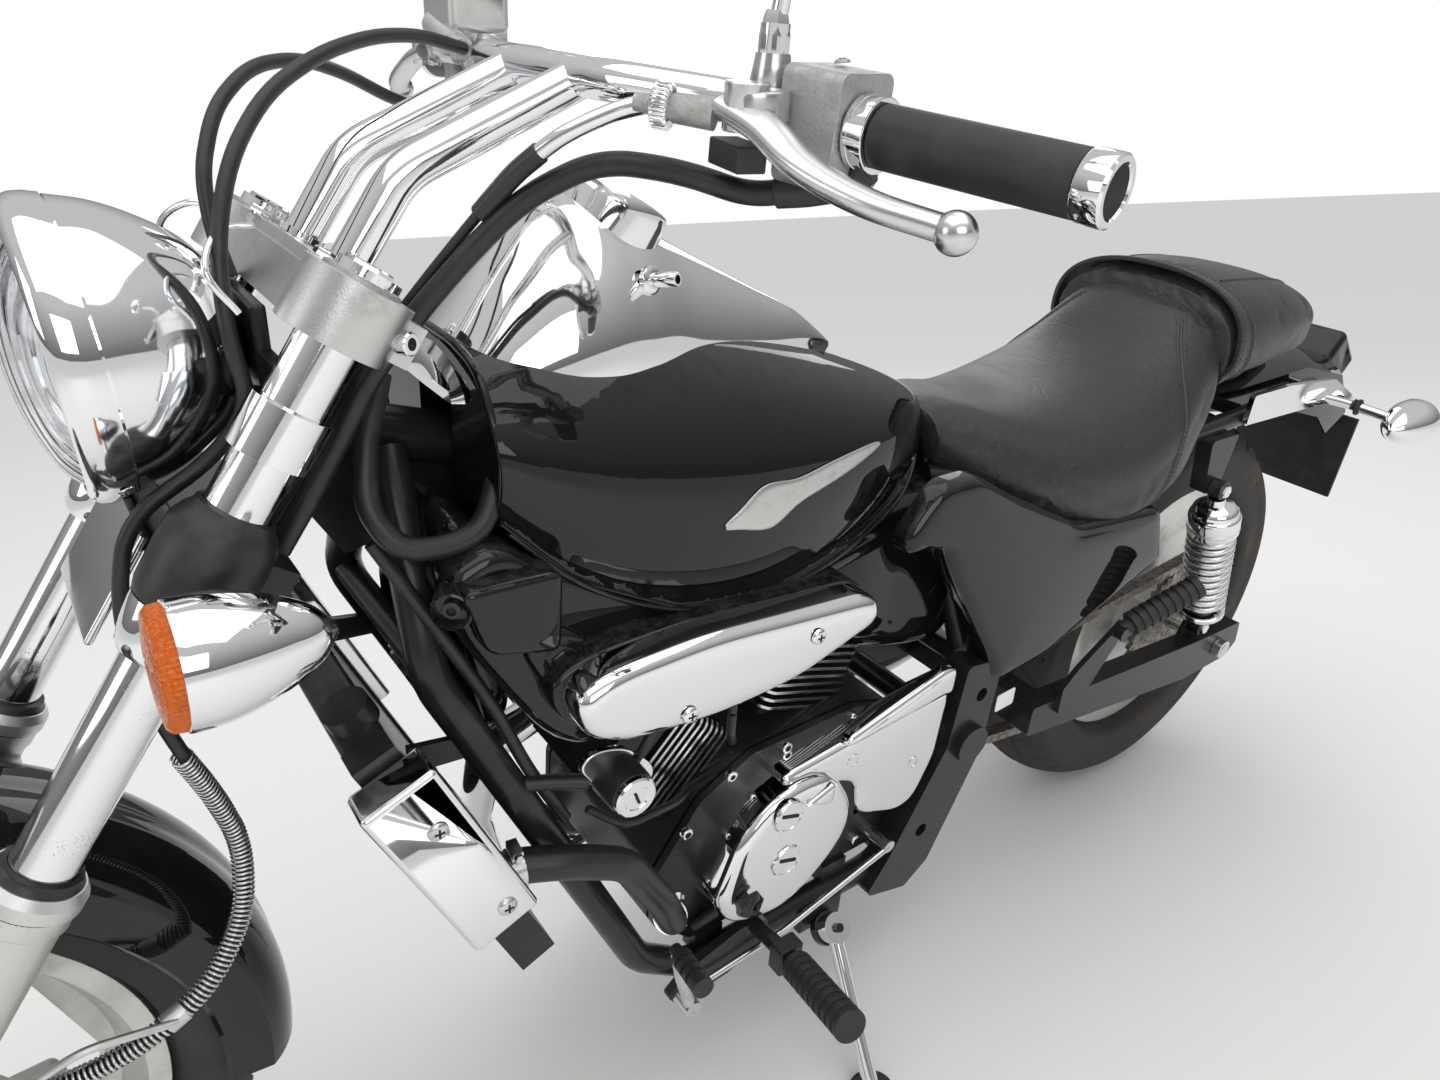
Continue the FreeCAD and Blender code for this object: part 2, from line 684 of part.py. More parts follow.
def handlebar():
    """Drag bar with its two risers standing on the top clamp."""
    right = [Vector(p.x, -p.y, p.z) for p in BAR[:0:-1]]
    bar = bent_tube(right + BAR[1:], s.bar_r, 70)
    parts = [bar]
    foot = FORK.multVec(Vector(-11, 0, TOP_CLAMP_TOP + SEAT_GAP))
    for side in SIDES:
        y = side * float(s.riser_half)
        route = [(v.x, y, v.z) for v in [foot] + RISER]
        parts.append(bent_tube(route, s.bar_r, 60))
        flange = tube(Vector(foot.x, y, foot.z), Vector(foot.x, y, foot.z) + UP * 5, s.bar_r + 3)
        parts.append(flange)
        end = Vector(BAR_END.x, side * BAR_END.y, BAR_END.z)
        way = Vector(BAR_WAY.x, side * BAR_WAY.y, BAR_WAY.z)
        parts.append(tube(end + way * SEAT_GAP, end + way * 15, s.grip_r - 0.5))
        collar_in, collar_out = on_bar(s.grip_long + 14), on_bar(s.grip_long + SEAT_GAP)
        collar = tube(collar_in, collar_out, s.grip_r + 2.5)
        parts.append(collar if side > 0 else mirrored(collar))
    piece("handlebar", fused(parts))


def grips():
    grip = tube(on_bar(s.grip_long), BAR_END, s.grip_r, s.bar_r + SEAT_GAP)
    piece("grips", both(grip))


def switch_housings():
    """Split housings round the bar inboard of each grip."""
    outer, inner = on_bar(s.grip_long + 15), on_bar(s.grip_long + 58)
    middle = (outer + inner) * 0.5
    shell = Part.makeBox(50, 42, 64, Vector(-26, -21, -34))
    shell = shell.makeFillet(7, [e for e in shell.Edges if abs(e.tangentAt(0).y) > 0.9])
    shell.Placement = Placement(middle, Rotation(Y, BAR_WAY))
    box = shell.cut(tube(inner - BAR_WAY * 60, outer + BAR_WAY * 60, s.bar_r + SEAT_GAP))
    piece("switch_housings", both(box))


def lever():
    """Perch clamped on the bar, and a blade that runs ahead of the grip to a ball end."""
    inner, outer = on_bar(s.grip_long + 59), on_bar(s.grip_long + 84)
    hoop = tube(inner, outer, s.bar_r + 7)
    reach = block((inner.x + 30, inner.y - 11, inner.z + 5), (44, 20, 18))
    pivot = tube(inner + Vector(46, 6, -6), inner + Vector(46, 6, 18), 12)
    holder = tube(inner + Vector(38, -40, 4), inner + Vector(42, -6, 5), 7)
    post = tube(inner + Vector(16, -11, 0), inner + Vector(16, -11, 32), 8)
    knuckle = inner + Vector(46, 10, 5)
    blade = bent_tube([knuckle, LEVER_BALL + Vector(30, -118, 32), LEVER_BALL + Vector(22, -65, 14),
                       LEVER_BALL], 7, 60)
    ball = Part.makeSphere(10.5, LEVER_BALL)
    bore = tube(on_bar(s.grip_long + 110), on_bar(s.grip_long + 30), s.bar_r + SEAT_GAP)
    return fused([hoop, reach, pivot, holder, post, blade, ball]).cut(bore)


LEVER_BALL = front(967, 370, 998)


def levers():
    piece("levers", both(lever()))


def brake_reservoir():
    """Fluid reservoir and master cylinder over the right perch."""
    at = front(982, -172, 1076)
    pot = block((at.x, at.y, at.z), (52, 60, 36), 0, 7)
    lid = block((at.x, at.y, at.z + 20), (56, 64, 8), 0, 3)
    stalk = Part.makeBox(18, 26, 14, at + Vector(2, -14, -28.6))
    master = tube(at + Vector(21, -18, -14), at + Vector(21, 26, -26), 10)
    union = tube(at + Vector(21, 22, -25), at + Vector(21, 40.7, -29), 8)
    piece("brake_reservoir", fused([pot, lid, stalk, master, union]))


def mirror():
    """Round stem up and outwards from the perch, with a shallow oval head facing back."""
    foot = on_bar(s.grip_long + 59) + Vector(16, -11, 32 + SEAT_GAP)
    nut = tube(foot, foot + Z * 16, 8.5)
    stem = bent_tube([tuple(foot + Z * 10), (foot.x - 4, foot.y + 4, 1118), (foot.x - 14, 268, 1166),
                      (foot.x - 10, 292, 1188)], 5, 60)
    rings = []
    for ahead, share in MIRROR_BOWL:
        ring = Part.Wire([Part.Ellipse(Vector(0, 0, 0), s.mirror_r * share, MIRROR_TALL * share).toShape()])
        ring.Placement = Placement(Vector(ahead, 0, 0), Rotation(Y, Z, X))
        rings.append(ring)
    head = lofted(rings, True)
    head.Placement = Placement(Vector(foot.x - 16, 300, 1204), Rotation(Y, -6))
    return fused([nut, stem, head])


MIRROR_TALL = 37.0
MIRROR_BOWL = [(0, 0.94), (3, 1.0), (8, 0.97), (13, 0.86), (17, 0.68), (20, 0.4)]
"""Mirror's half height, and its bowl as (depth from the glass side, share of the full oval)."""


def mirrors():
    piece("mirrors", both(mirror()))


# Lights

LAMP = Placement(front(1314, 0, 877), Rotation(Y, 94))
"""Headlamp frame: z looks forwards and a little down, from the seam of the shell."""


def headlamp():
    """Bell-shaped shell with a rolled rim, and the domed lens inside it."""
    r = float(s.lamp_r)
    shell = turned([(-84, 26), (-82, 40), (-70, 57), (-48, 72), (-22, 85), (0, r), (14, r + 2),
                    (24, r - 1), (26, r - 6)], Vector(0, 0, 0), Z)
    bowl = turned([(-30, 40), (0, r - 12), (12, r - 8), (40, r - 8)], Vector(0, 0, 0), Z)
    shell = piece("headlamp_shell", shell.cut(bowl))
    shell.Placement = LAMP
    lens = turned([(13, r - 8.4), (24, r - 8.4), (34, r - 22), (42, r * 0.55), (47, r * 0.22)],
                  Vector(0, 0, 0), Z)
    lens = piece("headlamp_lens", lens)
    lens.Placement = LAMP


def lamp_bracket():
    """Stay behind the lamp: a plate between two ears that grip the fork tubes."""
    back = LAMP.multVec(Vector(0, 0, -84 - SEAT_GAP))
    plate_x, half = back.x - 6.9, 46.0
    pad = block((plate_x, 0, back.z - 8), (10, 2 * half, 64), 0, 3)
    parts = [pad]
    for side in SIDES:
        y = side * float(s.fork_half)
        band = cup(s.fork_tube_r + 5, LAMP_EAR_S - 17, LAMP_EAR_S + 17, 0, y)
        band.Placement = FORK
        inner, outer = sorted((side * (half - 8), side * float(s.fork_half)))
        centre = FORK.multVec(Vector(0, 0, LAMP_EAR_S))
        arm = Part.makeBox(9, outer - inner, 40, Vector(plate_x - 4.5, inner, centre.z - 8))
        parts += [band, arm]
    whole = fused(parts)
    for bore in clamp_bores(LAMP_EAR_S - 60, LAMP_EAR_S + 60):
        bore.Placement = FORK
        whole = whole.cut(bore)
    piece("lamp_bracket", max(whole.Solids, key=lambda part: part.Volume))


LAMP_EAR_S = 655.0
"""Lamp ears above the axle along the fork."""


def fork_cover():
    """Bright cover on the front of the lower clamp, under the lamp."""
    return block((CLAMP_FACE + SEAT_GAP + 3, 0, s.lower_clamp_s - 46), (6, 112, 82), 0, 2.5)


SIGNAL_S = 518.0
"""Front indicator clamp above the axle along the fork."""
SIGNAL_Y = 197.0


def front_indicator():
    """Band round the fork tube, a short arm, and a bullet housing that points back."""
    y = float(s.fork_half)
    band = cup(s.fork_tube_r + 5, SIGNAL_S - 13, SIGNAL_S + 13, 0, y, s.fork_tube_r + SEAT_GAP)
    band.Placement = FORK
    root = FORK.multVec(Vector(0, y + float(s.fork_tube_r) + 2, SIGNAL_S))
    r = float(s.signal_r)
    nose = front(1322, SIGNAL_Y, 762)
    arm = tube(root, Vector(root.x, SIGNAL_Y - 20, nose.z - 6), 9)
    bullet = turned([(0, r), (14, r), (34, r * 0.93), (56, r * 0.72), (74, r * 0.42), (84, r * 0.1)],
                    Vector(0, 0, 0), Z)
    bullet.Placement = Placement(nose, Rotation(Y, -92))
    lens = turned([(0, r - 1), (9, r - 2), (13, r - 8)], Vector(0, 0, 0), Z)
    lens.Placement = Placement(nose + Vector(SEAT_GAP, 0, 0), Rotation(Y, 88))
    hole = cup(s.fork_tube_r + SEAT_GAP, SIGNAL_S - 40, SIGNAL_S + 40, 0, y)
    hole.Placement = FORK
    return fused([band, arm, bullet]).cut(hole), lens


def front_indicators():
    housing, lens = front_indicator()
    piece("front_indicators", Part.makeCompound([housing, lens, mirrored(housing), mirrored(lens)]))


# Front fender and brake

def front_fender():
    """Sheet that wraps the tyre: crowned top, straight skirts and a cut-off tail."""
    inner = float(s.front_tyre_r) + float(s.fender_gap)
    t = float(s.fender_t)
    half = float(s.front_tyre_w) / 2 + 10

    def section(radius, width):
        p = [Vector(radius - 58, width, 0), Vector(radius - 26, width, 0),
             Vector(radius - 3, width * 0.55, 0), Vector(radius, 0, 0)]
        q = [Vector(v.x, -v.y, v.z) for v in p]
        return [Part.LineSegment(p[0], p[1]).toShape(),
                Part.Arc(p[1], p[2], p[3]).toShape(), Part.Arc(p[3], q[2], q[1]).toShape(),
                Part.LineSegment(q[1], q[0]).toShape()], p, q

    outside, p_out, q_out = section(inner + t, half + t)
    inside, p_in, q_in = section(inner, half)
    rims = [Part.LineSegment(p_out[0], p_in[0]).toShape(), Part.LineSegment(q_out[0], q_in[0]).toShape()]
    face = Part.Face(Part.Wire(Part.__sortEdges__(outside + inside + rims)))
    start, end = 38, 187
    sheet = face.revolve(Vector(0, 0, 0), Y, -(end - start))
    sheet.rotate(Vector(0, 0, 0), Y, -start)
    sheet.Placement = Placement(FRONT_AXLE, Rotation()).multiply(sheet.Placement)
    pads = []
    for side in SIDES:
        tall = FORK.multVec(Vector(-6, 0, FENDER_PAD_S))
        room = float(s.fork_half) - float(s.slider_r) - SEAT_GAP - (half + t) + 2
        pad = block((0, 0, 0), (30, room, 52))
        pad.Placement = Placement(Vector(tall.x, side * (half + t - 2 + room / 2), tall.z),
                                  Rotation(Y, -float(s.rake)))
        pads.append(pad)
    piece("front_fender", fused([sheet] + pads))


def brake_caliper():
    """Sliding caliper astride the disc, behind the left slider."""
    outside, inside = s.fork_half - 17 - SEAT_GAP, s.disc_y - 20
    middle = (outside + inside) / 2
    reach = s.disc_r - 16
    body = block((-0.79 * reach, middle, 0.613 * reach), (62, outside - inside, 92), CALIPER_TURN, 7)
    bridge = block((-0.79 * (reach + 25), middle, 0.613 * (reach + 25)), (14, outside - inside + 6, 60),
                   CALIPER_TURN, 4)
    half = s.disc_t / 2 + 2.5
    room = tube(Vector(0, s.disc_y - half, 0), Vector(0, s.disc_y + half, 0), s.disc_r + 4)
    in_fork("brake_caliper", fused([body, bridge]).cut(room))


CALIPER_TURN = 37.8
"""Caliper's slope about the axle, so that its bridge clears the rim of the disc."""


# Hoses and cables held by the fork: straight runs joined by the largest arcs that fit

def held_cable(name, points, radius):
    """A cable clipped all along its route; prints its tightest arc."""
    points = [front(*p) for p in points]
    radii = []
    edges, last = [], points[0]
    for before, corner, after in zip(points, points[1:], points[2:]):
        a, b = before - corner, after - corner
        cut = 0.45 * min(a.Length, b.Length)
        a.normalize()
        b.normalize()
        half = a.getAngle(b) / 2
        arc = cut * math.tan(half)
        radii.append(arc)
        middle = corner + (a + b).normalize() * (arc / math.sin(half) - arc)
        edges.append(Part.LineSegment(last, corner + a * cut).toShape())
        edges.append(Part.Arc(corner + a * cut, middle, corner + b * cut).toShape())
        last = corner + b * cut
    edges.append(Part.LineSegment(last, points[-1]).toShape())
    spine = Part.Wire(edges)
    ring = Part.Wire(Part.makeCircle(radius, points[0], points[1] - points[0]))
    solid = spine.makePipeShell([ring], True, True)
    full = math.pi * float(radius) ** 2 * spine.Length
    print("%s: length %.0f, tightest arc %.0f (%.1f diameters), volume ratio %.4f" % (
        name, spine.Length, min(radii), min(radii) / (2 * radius), solid.Volume / full))
    piece(name, solid)


def cables():
    held_cable("brake_hose", BRAKE_HOSE, s.hose_r)
    held_cable("clutch_cable", CLUTCH_CABLE, 3.6)
    held_cable("switch_harness", SWITCH_HARNESS, 7.5)
    held_cable("throttle_cables", THROTTLE_CABLES, 5.0)


BRAKE_HOSE = [(1003, -131, 1047), (1046, -108, 1056), (1092, -76, 1056), (1142, -40, 1046),
              (1190, -4, 1024), (1224, 30, 990), (1243, 54, 945), (1247, 68, 895), (1240, 70, 852),
              (1268, 68, 820), (1320, 67, 790), (1334, 67, 738), (1334, 68, 680), (1322, 64, 620),
              (1304, 58, 560), (1292, 60, 508), (1302, 80, 458), (1338, 104, 424), (1386, 112, 406),
              (1426, 108, 397), (1454, 98, 388), (1468, 86, 375), (1471, 79, 359.6)]
"""From the master cylinder over and down behind the lamp, then to the caliper."""
CLUTCH_CABLE = [(985, 181, 1039), (1010, 165, 1036), (1040, 147, 1026), (1068, 128, 1008),
                (1084, 104, 982), (1100, 82, 952), (1126, 66, 915), (1160, 58, 872),
                (1186, 56, 832), (1214, 57, 793), (1243, 56, 755)]
SWITCH_HARNESS = [(950, 238, 998), (972, 212, 990), (1002, 178, 1000), (1036, 142, 1002),
                  (1072, 110, 976), (1102, 88, 938), (1134, 76, 900), (1170, 74, 858),
                  (1192, 74, 820), (1214, 75, 786), (1238, 75, 751.8)]
THROTTLE_CABLES = [(952, -246, 999.5), (978, -238, 992), (1010, -222, 994), (1046, -198, 1006),
                   (1086, -170, 1024), (1130, -138, 1036), (1174, -102, 1032), (1208, -68, 1008),
                   (1226, -42, 972), (1228, -28, 938), (1222, -24, 908.6)]


# Frame

SHOCK_FOOT = (48, s.rear_tyre_r + 44)
SHOCK_HEAD = (118, 584)
SHOCK_PIN_R = 5.0
"""Shock absorber eyes in side view as (x, z), and the pins they hang on."""


HEAD_LOW, HEAD_HIGH = float(LOW_CLAMP_TOP) + 2, float(TOP_CLAMP_BASE) - 2


def head_point(along):
    return FORK.multVec(Vector(STEM_X, 0, along))


def frame_head():
    """Head tube, backbone and the gusset between them."""
    pipe = tube(head_point(HEAD_LOW), head_point(HEAD_HIGH), s.head_tube_r)
    mid = head_point((HEAD_LOW + HEAD_HIGH) / 2)
    back = bent_tube([(mid.x, 0, mid.z), (1040, 0, 762), (620, 0, 690), (560, 0, 640)], s.back_tube_r, 90)
    gusset = plate([(mid.x + 14, mid.z - 50), (mid.x - 6, mid.z + 10), (1010, 770), (1010, 738),
                    (mid.x - 20, 700)], -6, 6)
    bore = tube(head_point(HEAD_LOW - 9), head_point(HEAD_HIGH + 9), s.stem_r + s.axle_gap)
    return fused([pipe, back, gusset]).cut(bore)


CRADLE = [front(1146, 27, 792), front(1153, 99, 632), (972, 122, 238), (905, 122, 186), (640, 122, 184),
          (585, 122, 215)]
"""Left cradle tube from the head, down the front and back under the engine."""
UPRIGHT = [(500, 452), (562, 462), (572, 352), (640, 214), (668, 170), (600, 150), (566, 176),
           (508, 318)]
"""Outline of the pressed upright that carries the swing arm, as (x, z)."""
UPRIGHT_Y = (118.0, 150.0)
RAIL = [(585, 60, 664), (470, 104, 658), (250, 118, 652), (60, 120, 662), (-150, 112, 672)]


def frame():
    """Cradle, uprights and seat rails, joined at the head and across the uprights."""
    parts = [frame_head()]
    for side in SIDES:
        cradle = [(x, side * y, z) for x, y, z in CRADLE]
        rail = [(x, side * y, over_tyre(x, z)) for x, y, z in RAIL]
        strut = [(545, side * 112, 440), (420, side * 112, 560), (330, side * 114, over_tyre(330, 652))]
        low, high = sorted(side * y for y in UPRIGHT_Y)
        parts += [bent_tube(cradle, s.down_tube_r, 70), bent_tube(rail, s.rail_r, 60),
                  bent_tube(strut, s.rail_r, 60), plate(UPRIGHT, low, high, 8)]
        parts.append(tube(Vector(530, side * 112, 440), Vector(560, side * 50, 655), s.rail_r))
        inner = sorted((side * 122.0, side * float(s.shock_y - 9)))
        parts.append(plate([(88, over_tyre(88, 652)), (152, over_tyre(152, 652)), (134, 576), (102, 576)],
                           inner[0], inner[1], 6))
        parts.append(tube(Vector(SHOCK_HEAD[0], inner[0] if side > 0 else inner[1], SHOCK_HEAD[1]),
                          Vector(SHOCK_HEAD[0], side * float(s.shock_y + 13), SHOCK_HEAD[1]), SHOCK_PIN_R))
    for x, z, radius in CROSS_TUBES:
        reach = 130 if z < 500 else 108
        z = over_tyre(x, z) if x < ARM_FRONT else z
        parts.append(tube(Vector(x, -reach, z), Vector(x, reach, z), radius))
    parts.append(tube(front(1152, -94, 636), front(1152, 94, 636), 11))
    whole = parts[0].multiFuse(parts[1:] + pivot_shaft() + [stand_lug()])
    for x, z in UPRIGHT_HOLES:
        whole = whole.cut(tube(Vector(x, -152, z), Vector(x, 152, z), 9))
    piece("frame", whole)


PIVOT_R = 9.0
CROSS_TUBES = [(598, 176, 11.0), (536, 446, 10.0), (572, 648, 10.0), (40, 664, 9.0)]
UPRIGHT_HOLES = [(589, 236), (528, 412)]


# Swing arm and shock absorbers

def swing_arm():
    """Box-section arm: two beams, a pivot tube, a brace ahead of the tyre and axle plates."""
    half_w, tall = s.arm_w / 2, s.arm_tall / 2
    parts = []
    for side in SIDES:
        low, high = side * s.arm_y - half_w, side * s.arm_y + half_w
        beam = [(ARM_FRONT, s.pivot_z - tall + 6), (ARM_FRONT, s.pivot_z + tall - 8),
                (60, s.rear_tyre_r + tall), (-54, s.rear_tyre_r + tall - 4),
                (-62, s.rear_tyre_r - 12), (-40, s.rear_tyre_r - tall - 4),
                (70, s.rear_tyre_r - tall - 6)]
        parts.append(plate([(float(x), float(z)) for x, z in beam], low, high, 5))
        ear_in = side * s.arm_y - half_w if side > 0 else side * s.arm_y + half_w - 5
        ear = plate([(18, s.rear_tyre_r + tall - 6), (78, s.rear_tyre_r + tall - 6),
                     (62, SHOCK_FOOT[1] + 14), (34, SHOCK_FOOT[1] + 14)], ear_in, ear_in + 5)
        parts.append(ear)
        parts.append(tube(Vector(SHOCK_FOOT[0], side * float(s.arm_y - half_w), SHOCK_FOOT[1]),
                          Vector(SHOCK_FOOT[0], side * float(s.shock_y + 13), SHOCK_FOOT[1]), SHOCK_PIN_R))
    parts.append(block((ARM_FRONT - 22, 0, s.pivot_z - 2), (36, 2 * s.arm_y, 40), 0))
    neck = [plate([(ARM_FRONT - 10, s.pivot_z - 20), (ARM_FRONT - 10, s.pivot_z + 20),
                   (s.pivot_x, s.pivot_z + 15), (s.pivot_x, s.pivot_z - 15)],
                  min(side * 40, side * 66), max(side * 40, side * 66)) for side in SIDES]
    parts += neck
    reach = UPRIGHT_Y[0] - SEAT_GAP
    parts.append(tube(Vector(s.pivot_x, -reach, s.pivot_z), Vector(s.pivot_x, reach, s.pivot_z), 15))
    bore = tube(Vector(s.pivot_x, -200, s.pivot_z), Vector(s.pivot_x, 200, s.pivot_z),
                PIVOT_R + SEAT_GAP)
    axle = tube(REAR_AXLE - Y * 200, REAR_AXLE + Y * 200, s.axle_r + SEAT_GAP)
    piece("swing_arm", fused(parts).cut(bore).cut(axle))


ARM_FRONT = 440.0


def pivot_shaft():
    """Swing arm pivot with its bright round caps on the uprights."""
    reach = UPRIGHT_Y[1]
    shaft = tube(Vector(s.pivot_x, -reach, s.pivot_z), Vector(s.pivot_x, reach, s.pivot_z), PIVOT_R)
    caps = [tube(Vector(s.pivot_x, side * (reach - 2), s.pivot_z),
                 Vector(s.pivot_x, side * (reach + 9), s.pivot_z), 24) for side in SIDES]
    return [shaft] + caps


def rear_axle():
    reach = float(s.arm_y + s.arm_w / 2)
    spindle = tube(REAR_AXLE - Y * (reach + 14), REAR_AXLE + Y * (reach + 14), s.axle_r)
    nuts = [tube(REAR_AXLE + Y * (side * (reach + SEAT_GAP)), REAR_AXLE + Y * (side * (reach + 13)), 14)
            for side in SIDES]
    piece("rear_axle", fused([spindle] + nuts))




def shock_parts(side):
    """Damper with eyes, and the ribbed barrel that its coil spring makes."""
    y = side * float(s.shock_y)
    foot, head = Vector(SHOCK_FOOT[0], y, SHOCK_FOOT[1]), Vector(SHOCK_HEAD[0], y, SHOCK_HEAD[1])
    way = (head - foot).normalize()
    eye = 7.5
    eyes = [tube(p - Y * eye, p + Y * eye, 12) for p in (foot, head)]
    neck = tube(foot + way * 8, head - way * 8, 7)
    body = tube(foot + way * 24, head - way * 26, 15)
    seat_low = tube(foot + way * 26, foot + way * 36, s.spring_r)
    seat_high = tube(head - way * 66, head - way * 28, s.spring_r)
    damper = fused(eyes + [neck, body, seat_low, seat_high])
    for p in (foot, head):
        damper = damper.cut(tube(p - Y * 20, p + Y * 20, SHOCK_PIN_R + SEAT_GAP))
    start, end = 36 + SEAT_GAP, (head - foot).Length - 66 - SEAT_GAP
    coils = 11
    pitch = (end - start) / coils
    ribs = []
    for n in range(coils):
        ribs += [(start + n * pitch, s.spring_r - 4), (start + (n + 0.3) * pitch, s.spring_r),
                 (start + (n + 0.7) * pitch, s.spring_r)]
    ribs.append((end, s.spring_r - 4))
    spring = turned([(a - start, r) for a, r in ribs], Vector(0, 0, 0), Z)
    spring.Placement = Placement(foot + way * start, Rotation(Z, way))
    return damper, spring.cut(tube(foot, head, 15 + SEAT_GAP))


def shocks():
    made = [shock_parts(side) for side in SIDES]
    piece("shock_absorbers", Part.makeCompound([part for pair in made for part in pair]))


# Engine

CRANK = Vector(s.crank_x, 0, s.crank_z)
CASE = [(628, 218), (900, 214), (950, 262), (948, 330), (900, 402), (838, 436), (700, 440), (640, 420),
        (592, 372), (592, 262)]
"""Crankcase in side view as (x, z)."""


def crankcase():
    half = float(s.case_half)
    body = plate(CASE, -half + 8, half - 8, 16)
    sump = plate([(660, 222), (880, 222), (860, 196), (690, 196)], -70, 70, 8)
    ribs = [plate(CASE, side * half - 4, side * half + 4, 16) for side in SIDES]
    starter = tube(Vector(905, -60, 392), Vector(905, 80, 392), 32)
    room = block((s.drive_x - 20, s.chain_y + 30, s.drive_z), (150, 80, 110))
    shaft = tube(Vector(s.drive_x, 60, s.drive_z), Vector(s.drive_x, s.chain_y + 8, s.drive_z),
                 s.drive_r - s.chain_tall)
    wheel = tube(Vector(s.drive_x, s.chain_y - 3, s.drive_z), Vector(s.drive_x, s.chain_y + 3, s.drive_z),
                 s.drive_r - s.chain_tall / 2 - 1)
    lugs = [block((x, side * (CRADLE[3][1] - 11), 207), (36, 22, 26)) for x in (700, 880)
            for side in SIDES]
    whole = fused([body, sump, starter] + ribs + lugs).cut(room).cut(PIECES["frame"].Shape)
    whole = max(whole.Solids, key=lambda part: part.Volume)
    piece("crankcase", fused([whole, shaft, wheel]))


def cylinder(name, bank):
    """Finned barrel and head on one bank, with its square-cut cover on top."""
    long, wide, t = float(s.fin_long), float(s.fin_wide), float(s.fin_t)
    deck, pitch, count = 128.0, float(s.fin_pitch), int(s.fin_count)
    top = deck + pitch * count
    barrel_core = Part.makeBox(long - 26, wide - 30, top - deck + 50, Vector(-(long - 26) / 2,
                                                                        -(wide - 30) / 2, deck - 46))
    parts = [barrel_core.makeFillet(12, [e for e in barrel_core.Edges
                                         if abs(e.tangentAt(e.FirstParameter).z) > 0.99])]
    for n in range(count):
        fin = Part.makeBox(long, wide, t, Vector(-long / 2, -wide / 2, deck + n * pitch))
        parts.append(fin.makeFillet(14, [e for e in fin.Edges
                                         if abs(e.tangentAt(e.FirstParameter).z) > 0.99]))
    cover = Part.makeBox(long - 10, wide - 6, 44, Vector(-(long - 10) / 2, -(wide - 6) / 2, top))
    cover = cover.makeFillet(13, [e for e in cover.Edges if abs(e.tangentAt(e.FirstParameter).z) > 0.99])
    parts.append(cover)
    whole = parts[0].multiFuse(parts[1:])
    whole.Placement = Placement(CRANK, Rotation(Y, float(bank)))
    case = PIECES["crankcase"].Shape
    piece(name, whole.cut(case))


def side_cover(outline, low, high, edge, extras=(), round_r=22):
    """A cast or moulded cover with a rolled outer edge."""
    solid = plate(outline, low, high, round_r)
    outer = [e for e in solid.Edges if abs(e.BoundBox.YMin - high) < 1e-3 and e.BoundBox.YLength < 1e-3]
    solid = solid.makeFillet(edge, outer)
    return fused([solid] + list(extras))


GENERATOR = [(905, 300), (882, 258), (806, 244), (738, 300), (724, 350), (764, 412), (834, 414),
             (880, 372)]
SPROCKET_COVER = [(584, 436), (600, 442), (826, 420), (812, 404), (716, 366), (706, 314), (640, 288),
                  (612, 296), (588, 352)]


def engine_covers():
    face = s.case_half + 4 + SEAT_GAP
    caps = [tube(Vector(x, 160, z), Vector(x, 168, z), 17) for x, z in ((826, 387), (812, 326))]
    generator = side_cover(GENERATOR, face, 164, 9, caps)
    wing = plate([(584, 438), (584, 478), (600, 474), (742, 436), (742, 420)], 140, 156, 6)
    sprocket = side_cover(SPROCKET_COVER, face, 154, 5, [wing])
    room = generator.copy()
    room.scale(1.02, Vector(815, face, 330))
    sprocket = max(sprocket.cut(room).Solids, key=lambda part: part.Volume)
    clutch = tube(Vector(765, -face, 318), Vector(765, -158, 318), 84)
    clutch = clutch.makeFillet(9, [e for e in clutch.Edges if abs(e.BoundBox.YMin + 158) < 1e-3])
    pump = tube(Vector(868, -face, 268), Vector(868, -146, 268), 34)
    piece("engine_covers", Part.makeCompound([generator, sprocket, fused([clutch, pump])]))


def ignition_lock():
    """Lock in its bright plate on the left of the front cylinder."""
    at = Vector(1012, 150, 500)
    mount = block((at.x - 4, 128, at.z - 2), (74, 5, 46), 38, 2)
    barrel_ = tube(Vector(at.x, 126, at.z), Vector(at.x, 168, at.z), 21)
    face = tube(Vector(at.x, 166, at.z), Vector(at.x, 170, at.z), 19)
    arm = tube(Vector(1098, 107, 508), Vector(1028, 130, 496), 7)
    made = fused([mount, barrel_, face, arm]).cut(PIECES["frame"].Shape)
    piece("ignition_lock", max(made.Solids, key=lambda part: part.Volume))


# Air box

AIRBOX = [(716, 92, 604, 630), (840, 112, 582, 632), (950, 116, 566, 640), (1030, 108, 566, 668),
          (1092, 92, 600, 706)]
"""Air box sections from back to front: x, half width, low, high."""
TRIM = [(761, 606), (768, 636), (950, 652), (1046, 648), (1076, 630), (1066, 594), (1030, 576),
        (940, 568), (856, 574)]
COVER = [(1000, 560), (1026, 528), (1064, 552), (1098, 606), (1132, 664), (1144, 700), (1140, 732),
         (1086, 752), (1000, 752), (950, 700)]
"""Side cover of the air box ahead of its bright trim, as (x, z)."""
COVER_PODS = [([(1142, 724), (1124, 666), (1064, 650), (1062, 724)], 146),
              ([(1096, 656), (1074, 610), (1038, 594), (1030, 622), (1032, 648), (1062, 672)], 142)]
"""Raised box and lobe on that cover: outline and outer plane."""


